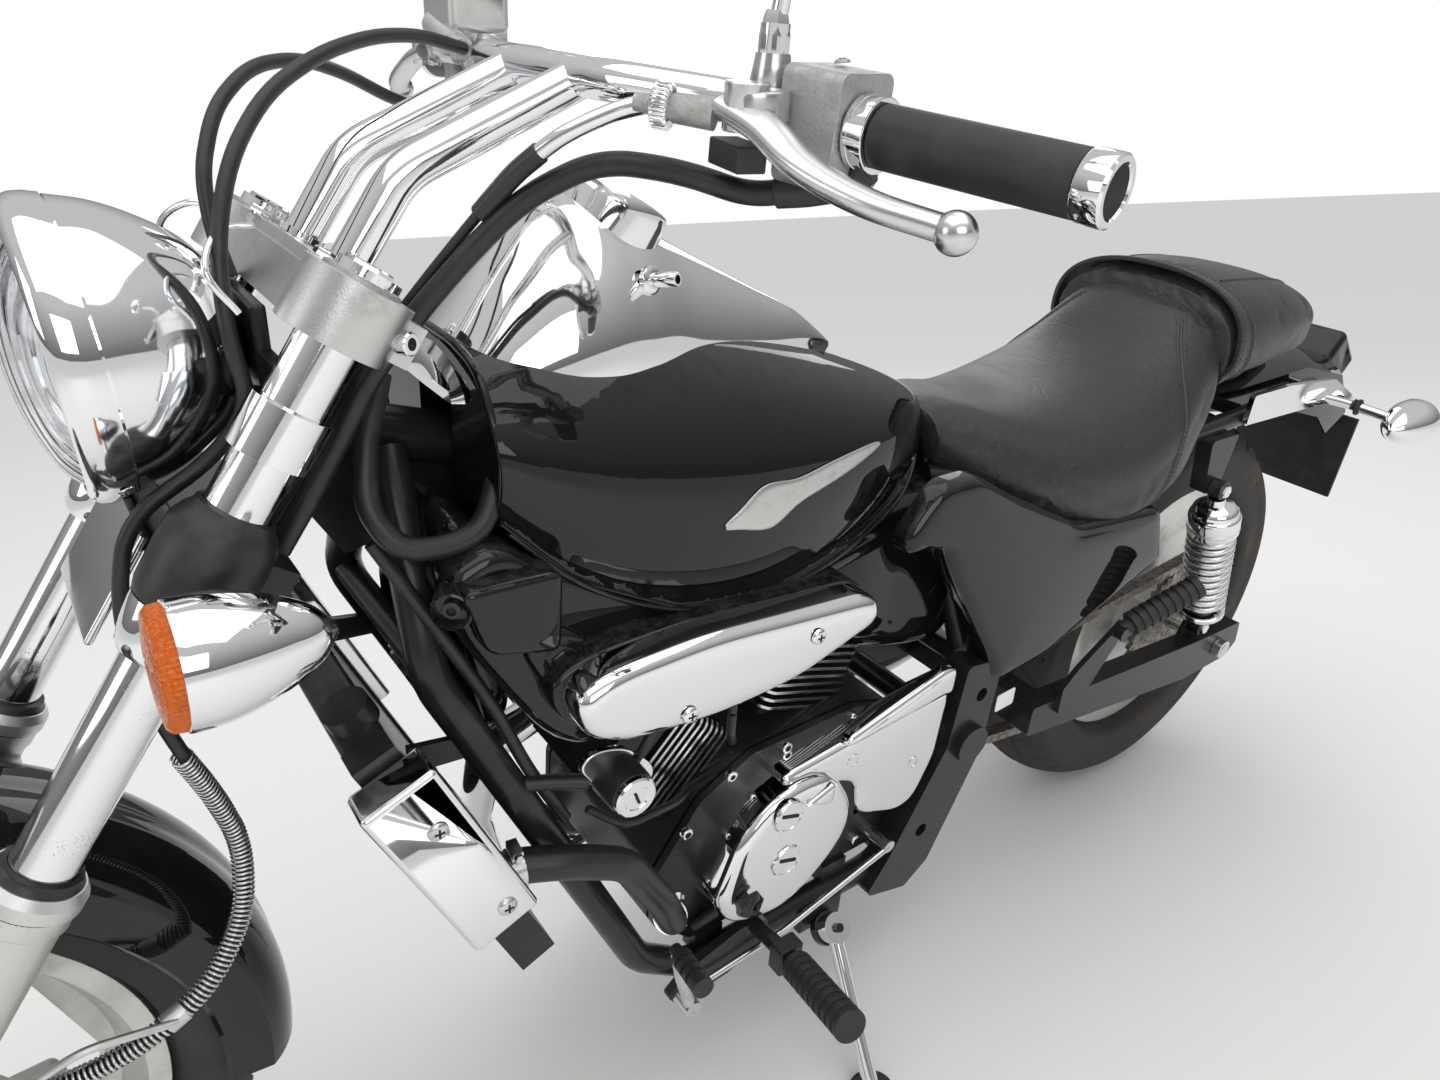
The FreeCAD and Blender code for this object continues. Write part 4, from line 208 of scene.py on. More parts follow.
class Skin:
    """Grids gathered into one mesh, each closed round and capped at its ends where asked."""

    def __init__(self):
        self.points, self.faces, self.uvs, self.kinds, self.count = [], [], [], [], 0

    def add(self, grid, wrap=True, caps=True, kind=0, flip=None):
        """Rows of a grid (n, m, 3) joined by quads; wrap closes each row, caps close both ends.

        Faces turn outwards by the sign of the volume they enclose, unless flip says which way."""
        grid = np.asarray(grid, float)
        n, m = grid.shape[:2]
        points = grid.reshape(-1, 3)
        i, j = np.meshgrid(np.arange(n - 1), np.arange(m if wrap else m - 1), indexing="ij")
        k = (j + 1) % m
        quads = np.stack([i * m + j, i * m + k, (i + 1) * m + k, (i + 1) * m + j], -1).reshape(-1, 4)
        fans = []
        if caps and wrap:
            points = np.vstack([points, grid[0].mean(0), grid[-1].mean(0)])
            j = np.arange(m)
            fans = [np.stack([(j + 1) % m, j, np.full(m, n * m)], -1),
                    np.stack([(n - 1) * m + j, (n - 1) * m + (j + 1) % m, np.full(m, n * m + 1)], -1)]
        if flip is None:
            a, b, c, d = (points[quads[:, q]] for q in range(4))
            middle = points.mean(0)
            volume = np.einsum("ij,ij->i", a - middle, np.cross(b - middle, c - middle)).sum()
            volume += np.einsum("ij,ij->i", a - middle, np.cross(c - middle, d - middle)).sum()
            flip = volume < 0
        u = np.concatenate([[0], np.cumsum(np.linalg.norm(np.diff(grid.mean(1), axis=0), axis=1))])
        v = np.concatenate([[0], np.cumsum(np.linalg.norm(np.diff(grid[n // 2], axis=0), axis=1))])
        uv = np.stack(np.meshgrid(u, v, indexing="ij"), -1).reshape(-1, 2) / 1000
        uv = np.vstack([uv, uv[:1], uv[-1:]]) if len(fans) else uv
        for block in [quads] + fans:
            block = block[:, ::-1] if flip else block
            self.faces += (block + self.count).tolist()
            self.kinds += [kind] * len(block)
        self.points.append(points)
        self.uvs.append(uv)
        self.count += len(points)
        return self

    def turn(self, profile, at, way, steps=64, squash=1.0, **how):
        """A surface of revolution."""
        self.add(turned(profile, at, way, steps, squash), **how)

    def made(self, name, finishes, body, node=None, crease=40.0, slot=None):
        """The object, riding on its body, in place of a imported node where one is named.

        The finishes are names in one string, and a grid's kind is the number of its finish."""
        mesh = bpy.data.meshes.new(name)
        mesh.from_pydata(machine(np.vstack(self.points)).tolist(), [], self.faces)
        corner = np.zeros(len(mesh.loops), np.int32)
        mesh.loops.foreach_get("vertex_index", corner)
        layer = mesh.uv_layers.new(name="surface")
        layer.data.foreach_set("uv", np.vstack(self.uvs)[corner].ravel())
        mesh.polygons.foreach_set("material_index", np.array(self.kinds, np.int32))
        return finished(name, mesh, finishes, body, node, crease)


def finished(name, mesh, finishes, body, node, crease):
    """Smooth shading up to the crease angle, finishes and body for a new mesh."""
    for finish in finishes.split():
        mesh.materials.append(FINISHES[finish])
    mesh.shade_smooth()
    mesh.set_sharp_from_angle(angle=math.radians(crease))
    made = placed(name, mesh)
    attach(made, body)
    if node:
        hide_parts(node)
    return made


def soften(made, width, angle):
    """Edges sharper than the angle rounded by a Bevel modifier of width millimetres."""
    bevel = made.modifiers.new("soft_edges", "BEVEL")
    bevel.width, bevel.segments = width / 1000, 2
    bevel.limit_method, bevel.angle_limit = "ANGLE", math.radians(angle)
    bevel.harden_normals = True


SAME_POINT = 2e-6
FLAT_ANGLE = 1.0
NODE_CREASE = 32.0


def dressed(node, finishes, bevel, pick=None):
    """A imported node's own shape with merged faces, softened edges and its finish.

    Where pick is given, faces whose middles it picks, in machine millimetres, take the second
    finish."""
    mesh = NODES[node].data.copy()
    shape = bmesh.new()
    shape.from_mesh(mesh)
    bmesh.ops.remove_doubles(shape, verts=shape.verts, dist=SAME_POINT)
    bmesh.ops.dissolve_limit(shape, angle_limit=math.radians(FLAT_ANGLE), verts=shape.verts, edges=shape.edges)
    shape.to_mesh(mesh)
    shape.free()
    mesh.materials.clear()
    kinds = np.zeros(len(mesh.polygons), np.int32)
    if pick is not None:
        centre = np.zeros(len(mesh.polygons) * 3)
        mesh.polygons.foreach_get("center", centre)
        kinds = pick(upright(centre.reshape(-1, 3))).astype(np.int32)
    mesh.polygons.foreach_set("material_index", kinds)
    made = finished(node + "_finish", mesh, finishes, BODY_OF[node], node, NODE_CREASE)
    if bevel:
        soften(made, bevel, NODE_CREASE)


# Shader expressions

# Sockets of a Mix node that mixes colours
MIX_LOW, MIX_HIGH, MIX_OUT = 6, 7, 2


def opaque(tone):
    """Red, green and blue with full alpha."""
    return tuple(tone)[:3] + (1.0,)


def forward(operation):
    """A method that adds the Math node of an operator."""
    return lambda self, other: self.nodes.math(operation, self, other)


def reflected(operation):
    """The same with a plain number on the left."""
    return lambda self, other: self.nodes.math(operation, other, self)


class Value:
    """A shader socket in arithmetic; each operator adds its Math node."""

    def __init__(self, nodes, socket):
        self.nodes, self.socket = nodes, socket

    __add__, __radd__ = forward("ADD"), reflected("ADD")
    __sub__, __rsub__ = forward("SUBTRACT"), reflected("SUBTRACT")
    __mul__, __rmul__ = forward("MULTIPLY"), reflected("MULTIPLY")

    def wave(self):
        """Sine of an angle in radians."""
        return self.nodes.math("SINE", self)

    def size(self):
        """Without its sign."""
        return self.nodes.math("ABSOLUTE", self)

    def within(self, low, high):
        """0 below low, 1 above high, smooth between."""
        return self.nodes.node("ShaderNodeMapRange", {"interpolation_type": "SMOOTHSTEP"},
                               {"Value": self, "From Min": low, "From Max": high})

    def part(self, axis):
        """One coordinate of a vector."""
        return self.nodes.node("ShaderNodeSeparateXYZ", {}, {"Vector": self}, out="XYZ"[axis])


class Nodes:
    """The node tree of a material or a world, emptied and filled by expressions."""

    def __init__(self, owner):
        owner.use_nodes = True
        self.tree = owner.node_tree
        self.tree.nodes.clear()

    def node(self, kind, settings, sockets, out=0):
        """Any node: its settings first, a ramp's stops among them, then its sockets."""
        made = self.tree.nodes.new(kind)
        for name, value in settings.items():
            if name == "stops":
                for element, (at, tone) in zip(made.color_ramp.elements, value):
                    element.position, element.color = at, opaque(tone)
            else:
                setattr(made, name, value)
        for name, value in sockets.items():
            if isinstance(value, Value):
                self.tree.links.new(value.socket, made.inputs[name])
            else:
                made.inputs[name].default_value = value
        return Value(self, made.outputs[out] if made.outputs else None)

    def math(self, operation, *values):
        """A Math node on sockets and numbers."""
        return self.node("ShaderNodeMath", {"operation": operation}, dict(enumerate(values)))

    def mix(self, mask, low, high):
        """Colour low where mask is 0 and high where it is 1."""
        tones = {MIX_LOW: low, MIX_HIGH: high}
        tones = {k: v if isinstance(v, Value) else opaque(v) for k, v in tones.items()}
        return self.node("ShaderNodeMix", {"data_type": "RGBA"}, {0: mask, **tones}, out=MIX_OUT)


class Finish(Nodes):
    """A material and the nodes behind its one shader."""

    def __init__(self, name, color, rough, metal=0.0, **constants):
        self.material = bpy.data.materials.new(name)
        super().__init__(self.material)
        self.shader = self.tree.nodes.new("ShaderNodeBsdfPrincipled")
        output = self.tree.nodes.new("ShaderNodeOutputMaterial")
        self.tree.links.new(self.shader.outputs[0], output.inputs["Surface"])
        for socket, value in constants.items():
            self.put(socket.replace("_", " "), value)
        self.put("Metallic", metal)
        self.put("Base Color", color)
        self.put("Roughness", rough)

    def put(self, socket, value):
        """A constant on the shader's own socket, or a link to it."""
        if isinstance(value, Value):
            self.tree.links.new(value.socket, self.shader.inputs[socket])
        elif isinstance(value, (tuple, list)):
            self.shader.inputs[socket].default_value = opaque(value)
        else:
            self.shader.inputs[socket].default_value = value

    def where(self, scale=(1, 1, 1)):
        """Object coordinates in metres, stretched where a scale is given."""
        start = self.node("ShaderNodeTexCoord", {}, {}, out="Object")
        if scale == (1, 1, 1):
            return start
        return self.node("ShaderNodeMapping", {}, {"Vector": start, "Scale": scale})

    def noise(self, scale, detail=3.0, rough=0.5, at=None, bend=0.0):
        """Fractal noise of so many cells a metre."""
        return self.node("ShaderNodeTexNoise", {}, {"Vector": at or self.where(), "Scale": scale,
                         "Detail": detail, "Roughness": rough, "Distortion": bend}, out="Fac")

    def cells(self, scale):
        """Distance to the middle of the nearest of so many cells a metre."""
        return self.node("ShaderNodeTexVoronoi", {}, {"Vector": self.where(), "Scale": scale}, out="Distance")

    def bump(self, height, depth, strength=1.0):
        """Normal from a height of 0 to 1 that stands `depth` metres proud."""
        self.put("Normal", self.node("ShaderNodeBump", {}, {"Height": height, "Distance": depth, "Strength": strength},
                                     out="Normal"))


def plating(name, tone=(0.86, 0.87, 0.88), rust=0.0, dull=0.035):
    """Chrome: a mirror with wiped smudges, dried spots, and pin rust where it is old."""
    f = Finish(name, tone, dull, 1.0)
    smudge = f.noise(9, 4, 0.6).within(0.42, 0.75)
    spots = 1 - f.cells(420).within(0.08, 0.16)
    few = f.noise(26, 2).within(0.56, 0.66)
    f.put("Roughness", dull + 0.10 * smudge + 0.22 * spots * few)
    if rust:
        pits = (1 - f.cells(650).within(0.10, 0.3)) * f.noise(34, 4, 0.6).within(0.62 - rust, 0.78 - rust)
        f.put("Base Color", f.mix(pits, tone, (0.33, 0.16, 0.07)))
        f.put("Metallic", 1 - 0.85 * pits)
        f.put("Roughness", dull + 0.10 * smudge + 0.5 * pits)
        f.bump(1 - pits, 0.0001)
    else:
        f.bump(f.noise(14, 2), 0.0002, 0.35)
    return f.material


def enamel(name, tone=(0.006, 0.006, 0.007), dust=0.5, rough=0.09):
    """Gloss black paint: clear coat with faint swirl marks and settled dust on what faces up."""
    f = Finish(name, tone, rough, Coat_Weight=1.0, Coat_Roughness=0.03, Specular_IOR_Level=0.0)
    up = f.node("ShaderNodeNewGeometry", {}, {}, out="Normal").part(2).within(0.3, 1.0)
    settled = f.noise(60, 6, 0.7).within(0.35, 0.8) * up * dust
    f.put("Base Color", f.mix(settled * 0.5, tone, (0.20, 0.18, 0.16)))
    swirl = f.noise(7, 5, 0.6, bend=2.0).within(0.4, 0.8)
    f.put("Roughness", rough + 0.10 * swirl + 0.30 * settled)
    f.bump(f.noise(900, 2), 0.00002, 0.4)
    return f.material


def satin_paint(name, tone=(0.012, 0.012, 0.013), rough=0.28, grit=0.4):
    """Brushed-on frame black: soft gloss, orange peel, dust in the hollows and chipped spots."""
    f = Finish(name, tone, rough, Coat_Weight=0.3, Coat_Roughness=0.16, Specular_IOR_Level=0.25)
    dirt = f.noise(22, 6, 0.65).within(0.5, 0.85) * grit
    f.put("Base Color", f.mix(dirt * 0.6, tone, (0.15, 0.13, 0.11)))
    f.put("Roughness", rough + 0.12 * f.noise(40, 3) + 0.35 * dirt)
    f.bump(f.noise(420, 3), 0.00008, 0.6)
    return f.material


def casting(name, tone=(0.62, 0.62, 0.61), rough=0.33, grain=0.00012, corroded=0.0):
    """Cast or machined alloy: fine grain, brushed lines, and white bloom where it has corroded."""
    f = Finish(name, tone, rough, 1.0)
    lines = f.noise(110, 3, 0.7, at=f.where((1, 1, 14)))
    grime = f.noise(38, 5, 0.65).within(0.52, 0.8)
    shade = f.mix(grime * 0.55, tone, tuple(0.45 * c for c in tone))
    if corroded:
        bloom = f.noise(75, 8, 0.75).within(0.62 - 0.2 * corroded, 0.72)
        pits = f.cells(900).within(0.05, 0.35)
        shade = f.mix(bloom * 0.7, shade, (0.30, 0.295, 0.28))
        f.put("Metallic", 1 - 0.7 * bloom)
        f.put("Roughness", rough + 0.3 * bloom + 0.1 * lines)
        f.bump(pits * bloom + f.noise(500, 4), grain * 3)
    else:
        f.put("Roughness", rough + 0.14 * lines + 0.2 * grime)
        f.bump(f.noise(700, 3), grain)
    f.put("Base Color", shade)
    return f.material


def rubber(name, tone=(0.016, 0.016, 0.017), rough=0.55, grain=900):
    """Moulded rubber: matt, dust-greyed, with a fine skin."""
    f = Finish(name, tone, rough)
    worn = f.noise(30, 5, 0.6).within(0.45, 0.85)
    f.put("Base Color", f.mix(worn * 0.45, tone, (0.075, 0.07, 0.065)))
    f.put("Roughness", rough + 0.18 * worn)
    f.bump(f.noise(grain, 3), 0.00006)
    return f.material


def moulded(name, tone=(0.02, 0.02, 0.021), rough=0.35):
    """Moulded black plastic: even spark-eroded grain and pale handling scuffs."""
    f = Finish(name, tone, rough)
    scuff = f.noise(18, 7, 0.7, bend=1.0).within(0.58, 0.8)
    f.put("Base Color", f.mix(scuff * 0.3, tone, (0.09, 0.085, 0.08)))
    f.put("Roughness", rough + 0.2 * scuff)
    f.bump(f.cells(1600), 0.00004)
    return f.material


def leather(name, tone=(0.018, 0.0175, 0.017)):
    """Seat cover: pebbled grain, long shallow creases and a polished, dusty top."""
    f = Finish(name, tone, 0.42, Sheen_Weight=0.08)
    pebble, fine = f.cells(950), f.cells(2100)
    crease = f.noise(16, 4, 0.6, at=f.where((1.0, 0.35, 1.0)), bend=2.5)
    rift = 1 - (crease - 0.5).size().within(0.0, 0.035)
    shine = f.noise(7, 3).within(0.35, 0.7)
    dust = f.noise(90, 6, 0.7).within(0.55, 0.8)
    f.put("Base Color", f.mix(dust * 0.35, tone, (0.10, 0.095, 0.088)))
    f.put("Roughness", 0.29 + 0.18 * shine + 0.15 * dust)
    f.bump(0.6 * pebble + 0.25 * fine - 0.8 * rift + 2.2 * crease, 0.0006, 0.5)
    return f.material


def lens(name, tone, rough=0.06, facets=0.0, clear=0.3):
    """Tinted lamp plastic with ribs cast in its back."""
    f = Finish(name, tone, rough, IOR=1.49, Transmission_Weight=clear, Specular_IOR_Level=0.4)
    depth = f.noise(60, 3).within(0.3, 0.8)
    f.put("Base Color", f.mix(depth * 0.35, tone, tuple(0.6 * c for c in tone)))
    if facets:
        f.bump(f.cells(facets), 0.0015, 0.8)
    return f.material


def glass(name):
    """Clear dome with faint flutes and road haze."""
    f = Finish(name, (0.97, 0.98, 1.0), 0.02, IOR=1.45, Transmission_Weight=1.0)
    haze = f.noise(40, 5).within(0.5, 0.9)
    f.put("Roughness", 0.01 + 0.08 * haze)
    f.bump((f.where().part(1) * 520).wave(), 0.0004, 0.35)
    return f.material


def tread_rubber(name, rust=0.0, tone=(0.022, 0.021, 0.020)):
    """Tyre: matt tread with ground-in dust and, on the back, orange mud in the grooves."""
    f = Finish(name, tone, 0.78)
    dust = f.noise(14, 6, 0.7).within(0.35, 0.8)
    shade = f.mix(dust * 0.5, tone, (0.075, 0.070, 0.064))
    if rust:
        stain = f.noise(9, 5, 0.6, bend=1.0).within(0.55, 0.8) * rust
        shade = f.mix(stain, shade, (0.22, 0.11, 0.05))
    f.put("Base Color", shade)
    f.put("Roughness", 0.7 + 0.2 * dust)
    f.bump(f.noise(500, 4), 0.0002)
    return f.material


def chain_steel(name):
    """Oily links: dark steel with brown grease, brighter where rollers rub."""
    f = Finish(name, (0.20, 0.18, 0.16), 0.42, 1.0)
    grease = f.noise(120, 6, 0.7).within(0.35, 0.75)
    f.put("Base Color", f.mix(grease, (0.30, 0.28, 0.26), (0.07, 0.045, 0.03)))
    f.put("Metallic", 1 - 0.6 * grease)
    f.put("Roughness", 0.32 + 0.35 * grease)
    f.bump(f.noise(800, 4), 0.0002)
    return f.material


def wheel_silver(name):
    """Silver wheel paint with brake dust towards the hub."""
    f = Finish(name, (0.66, 0.66, 0.64), 0.30, 0.55, Coat_Weight=0.4)
    dust = f.noise(18, 6, 0.65).within(0.4, 0.8)
    f.put("Base Color", f.mix(dust * 0.55, (0.68, 0.68, 0.66), (0.30, 0.27, 0.23)))
    f.put("Roughness", 0.28 + 0.3 * dust)
    f.bump(f.noise(500, 3), 0.00006)
    return f.material


FINISHES = {}


def make_finishes():
    """Every material of the machine, under a short name."""
    FINISHES.update(
        chrome=plating("bright_plating"), old_chrome=plating("worn_plating", rust=0.1, dull=0.06),
        tank=enamel("tank_enamel", dust=0.22), panel=enamel("panel_enamel", dust=0.4, rough=0.14),
        frame=satin_paint("frame_black"), engine=satin_paint("engine_black", rough=0.38, grit=0.7),
        alloy=casting("machined_alloy", rough=0.26), cast=casting("cast_slider", (0.68, 0.68, 0.67), 0.36),
        corroded=casting("corroded_alloy", (0.50, 0.50, 0.49), 0.42, corroded=0.8),
        steel=casting("polished_steel", (0.70, 0.70, 0.70), 0.16, 0.00003),
        rubber=rubber("moulded_rubber"), grip=rubber("grip_rubber", rough=0.48, grain=500),
        hose=rubber("hose_rubber", (0.014, 0.014, 0.015), 0.38), plastic=moulded("black_plastic"),
        leather=leather("seat_leather"), amber=lens("amber_lens", (0.86, 0.17, 0.003), 0.08, facets=330, clear=0.45),
        red=lens("red_lens", (0.55, 0.01, 0.008), facets=200), glass=glass("lamp_glass"),
        front_tread=tread_rubber("front_tread"), rear_tread=tread_rubber("rear_tread", rust=0.6),
        chain=chain_steel("drive_chain_steel"), wheel=wheel_silver("wheel_silver"),
        spring=casting("spring_plating", (0.8, 0.8, 0.79), 0.2, 0.00003),
        piping=rubber("seat_piping", (0.034, 0.033, 0.032), 0.4, grain=1400),
        # Near black: the dial and bar-end faces, and painted shade in screw recesses, slots, holes and bores.
        void=rubber("dark_face_and_recess_shade", (0.004, 0.004, 0.004), 0.7), hardware=moulded("black_hardware", rough=0.3),
        label=moulded("blank_label", (0.72, 0.73, 0.73), 0.45),
        reflector=plating("lamp_reflector", (0.92, 0.92, 0.92), dull=0.12))


# Stage

CAMERA_AT = (1369.1, 712.3, 1087.7)
CAMERA_SIDE = (-0.80556, 0.58872, 0.06697)
CAMERA_AHEAD = (-0.54795, -0.69719, -0.46225)
FOCAL_PIXELS = 1013.1
PHOTO_WIDTH = 1440.0
SENSOR_WIDTH = 36.0
CLIP = (0.02, 100)
FLOOR_RADIUS, FLOOR_CORNERS = 40, 96
# Soft boxes: name, place, aim and size in metres, watts
LAMPS = (("overhead", (0.4, 0.6, 3.4), (0.2, 0, 0.6), (4.2, 3.4), 46),
         ("left", (1.2, 3.4, 1.9), (0.1, 0, 0.6), (2.6, 1.6), 26),
         ("front", (3.6, -0.4, 1.8), (0.4, 0, 0.6), (1.6, 1.6), 12),
         ("back", (-2.4, -2.6, 2.4), (0, 0, 0.5), (2.4, 1.6), 20))
# Grey of the even light, and of what bright surfaces mirror at the horizon and above the given height
EVEN_LIGHT, HORIZON, SKY, SKY_FROM = 0.88, 0.16, 0.58, 0.6


class CruiserStage(bpy.types.PropertyGroup):
    light: FloatProperty(name="Light", description="Level of the soft boxes", default=1.0, min=0.0)
    floor: FloatVectorProperty(name="Floor", description="Floor colour", subtype="COLOR",
                               default=(0.74, 0.735, 0.725))


class CruiserFinish(bpy.types.PropertyGroup):
    coils: IntProperty(name="Coils", description="Turns of each shock absorber spring", default=11)
    wire: FloatProperty(name="Wire", description="Spring wire radius", default=0.0046, unit="LENGTH")
    seat_swell: FloatProperty(name="Seat swell", description="How far the seat foam pushes its cover out",
                              default=0.006, unit="LENGTH")


def soft_box(name, at, aim, size, power):
    """A rectangular area lamp that points at aim."""
    data = bpy.data.lights.new(name, "AREA")
    data.shape, data.size, data.size_y, data.energy = "RECTANGLE", size[0], size[1], power
    made = placed(name, data)
    made.location = at
    made.rotation_euler = (Vector(aim) - Vector(at)).to_track_quat("-Z", "Y").to_euler()


def studio_world():
    """Even grey light; glossy rays see a sky that darkens to the horizon, and the camera sees white."""
    world = bpy.data.worlds.new("studio")
    bpy.context.scene.world = world
    w = Nodes(world)
    height = w.node("ShaderNodeTexCoord", {}, {}, out="Generated").part(2)
    stops = [(at, (tone, tone, tone * 1.01)) for at, tone in ((0.0, HORIZON), (SKY_FROM, SKY))]
    sky = w.node("ShaderNodeValToRGB", {"stops": stops}, {0: height})
    glossy, camera = (w.node("ShaderNodeLightPath", {}, {}, out=ray) for ray in ("Is Glossy Ray", "Is Camera Ray"))
    seen = w.mix(camera, w.mix(glossy, (EVEN_LIGHT,) * 3, sky), (1, 1, 1))
    w.node("ShaderNodeOutputWorld", {}, {0: w.node("ShaderNodeBackground", {}, {0: seen})})


class CRUISER_OT_stage(bpy.types.Operator):
    """Pale floor, soft light and the camera at the photograph's place"""
    bl_idname = "cruiser.stage"
    bl_label = "Stage"

    def execute(self, context):
        setup = context.scene.cruiser_stage
        floor = Finish("pale_floor", tuple(setup.floor), 0.85)
        floor.put("Base Color", floor.mix(floor.noise(0.8, 3) * 0.25, tuple(setup.floor),
                                          tuple(c * 0.93 for c in setup.floor)))
        mesh = bpy.data.meshes.new("floor")
        ring = np.pad(circle(FLOOR_RADIUS, FLOOR_CORNERS), ((0, 0), (0, 1)))
        mesh.from_pydata(ring.tolist(), [], [list(range(FLOOR_CORNERS))])
        mesh.materials.append(floor.material)
        placed("floor", mesh)
        for name, at, aim, size, watts in LAMPS:
            soft_box(name, at, aim, size, watts * setup.light)
        studio_world()
        camera = placed("camera", bpy.data.cameras.new("camera"))
        ahead, side = TURN @ np.array(CAMERA_AHEAD), TURN @ np.array(CAMERA_SIDE)
        above = np.cross(side, ahead)
        turn = Matrix([[side[k], above[k], -ahead[k]] for k in range(3)]).to_4x4()
        camera.matrix_world = Matrix.Translation(Vector(machine(CAMERA_AT))) @ turn
        camera.data.sensor_width = SENSOR_WIDTH
        camera.data.lens = FOCAL_PIXELS / PHOTO_WIDTH * SENSOR_WIDTH
        camera.data.clip_start, camera.data.clip_end = CLIP
        context.scene.camera = camera
        context.scene.view_settings.view_transform = "Standard"
        return {"FINISHED"}


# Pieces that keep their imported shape

PLAIN = {
    "chrome": "exhaust fender_struts handlebar mirrors radiator_guards side_stand",
    "tank": "fuel_tank rear_fender front_fender",
    "frame": "frame swing_arm peg_hangers",
    "engine": "crankcase radiator",
    "alloy": "top_clamp",
    "cast": "fork_sliders brake_caliper brake_reservoir",
    "corroded": "switch_housings",
    "steel": "brake_disc front_axle rear_axle",
    "rubber": "foot_pegs plate_bracket",
    "hose": "brake_hose clutch_cable switch_harness throttle_cables coolant_hose",
    "grip": "grips",
    "chain": "drive_chain rear_sprocket",
    "wheel": "front_wheel rear_wheel",
    "old_chrome": "fork_tubes",
}
# Width of the softened edges, in millimetres; round or painted shells have none
BEVEL = 0.8
BEVELS = {"frame": 1.5, **dict.fromkeys(("fuel_tank", "drive_chain", "brake_hose", "clutch_cable", "switch_harness",
                                         "throttle_cables", "coolant_hose", "fork_tubes", "rear_sprocket"), 0)}


class CRUISER_OT_rigid(bpy.types.Operator):
    """Softened edges and finishes on the rigid pieces as they are packed"""
    bl_idname = "cruiser.rigid"
    bl_label = "Rigid pieces"

    def execute(self, context):
        for finish, nodes in PLAIN.items():
            for node in nodes.split():
                dressed(node, finish, BEVELS.get(node, BEVEL))
        for node, finishes, bevel, pick in (
                ("lower_clamp", "frame chrome", BEVEL, lambda p: (p[:, 0] > 1306) & (p[:, 2] < 770)),
                ("lamp_bracket", "frame chrome", BEVEL,
                 lambda p: np.hypot((p - FRONT_AXLE) @ AHEAD, np.abs(p[:, 1]) - FORK_HALF) < 31),
                ("tail_lamp", "panel red", 3.0, lambda p: p[:, 0] < -402),
                ("foot_controls", "steel rubber", 0.6,
                 lambda p: ((p[:, 0] > 944) & (p[:, 1] > 170) & (p[:, 2] > 268)) | ((p[:, 1] < 0) & (p[:, 2] > 262)))):
            dressed(node, finishes, bevel, pick)
        return {"FINISHED"}


# Drawn surfaces shared by several pieces

BAR_END = np.array([913.0, 400.0, 1024.0])
BAR_WAY = np.array([-0.1917, 0.9796, -0.0618])


def on_bar(back, side=1):
    """A point on the handlebar's outer run, measured back from the grip's end."""
    return (BAR_END - BAR_WAY * back) * [1, side, 1]


def across(grid, side):
    """The same grid on the other side of the machine where side is -1."""
    return np.asarray(grid, float) * [1, side, 1]


def loop(corners, reach, steps=6):
    """Closed outline whose corners are replaced by arc-like quadratics of the given reach."""
    p = np.asarray(corners, float)
    start = (p[0] + p[-1]) / 2
    return rounded(np.vstack([start, p, start]), reach, steps)[:-1]


def squared(steps, power):
    """Unit circle with each coordinate raised to a power below 1, so that it nears a square."""
    ring = circle(1.0, steps)
    return np.sign(ring) * np.abs(ring) ** power


def even(ring, count):
    """A closed outline resampled at equal steps of arc length."""
    p = np.vstack([ring, ring[:1]])
    along = np.concatenate([[0], np.cumsum(np.linalg.norm(np.diff(p, axis=0), axis=1))])
    u = np.linspace(0, along[-1], count, endpoint=False)
    return np.stack([np.interp(u, along, p[:, k]) for k in range(p.shape[1])], -1)


HARMONICS, EASED = 2, 0.3
SHARES = (0.95, 0.88, 0.78, 0.66, 0.52, 0.36, 0.18, 0.02)


def pillow(outline, levels, count=144):
    """An (x, z) outline carried out along y through levels (y, inset, share).

    Each ring is m + share (q - inset n - m) with n the outward normal and m the middle; q is the
    outline, which turns into its first two harmonics as the share falls to EASED, so no ridge is
    left."""
    ring = even(outline, count)
    way = np.roll(ring, -1, 0) - np.roll(ring, 1, 0)
    normal = np.stack([way[:, 1], -way[:, 0]], -1) / np.linalg.norm(way, axis=1)[:, None]
    after = np.roll(ring, -1, 0)
    if (ring[:, 0] * after[:, 1] - after[:, 0] * ring[:, 1]).sum() < 0:
        normal = -normal
    middle = ring.mean(0)
    wave = np.fft.fft((ring[:, 0] - middle[0]) + 1j * (ring[:, 1] - middle[1]))
    wave[HARMONICS + 1:-HARMONICS] = 0
    calm = np.fft.ifft(wave)
    calm = middle + np.stack([calm.real, calm.imag], -1)
    ease = [1 - max(0.0, (share - EASED) / (1 - EASED)) ** 0.6 if share < 1 else 0.0 for _, _, share in levels]
    rows = [middle + (ring * (1 - k) + calm * k - normal * inset * (1 - k) - middle) * share
            for k, (_, inset, share) in zip(ease, levels)]
    return np.stack([np.stack([row[:, 0], np.full(count, float(y)), row[:, 1]], -1)
                     for row, (y, _, _) in zip(rows, levels)])


def dome(low, high, roll, crown):
    """Levels for a pillow: a straight wall, a quarter roll of the given radius, then a crown."""
    turn = np.linspace(0, np.pi / 2, 6)
    edge = [(high - roll + roll * math.sin(a), roll * (1 - math.cos(a)), 1.0) for a in turn]
    top = [(high + crown * (1 - share**2), roll, share) for share in SHARES]
    return [(low, 0, 1.0)] + edge + top


def slab(at, way, size, up=(0, 0, 1)):
    """Box of size (along, side, up) that starts at `at` and runs along `way`."""
    way = unit(way)
    side, top = basis(way, up)
    corner = np.array([[1, 1], [-1, 1], [-1, -1], [1, -1]]) / 2
    ring = np.asarray(at, float) + corner[:, :1] * size[1] * side + corner[:, 1:] * size[2] * top
    return np.stack([ring, ring + way * size[0]])


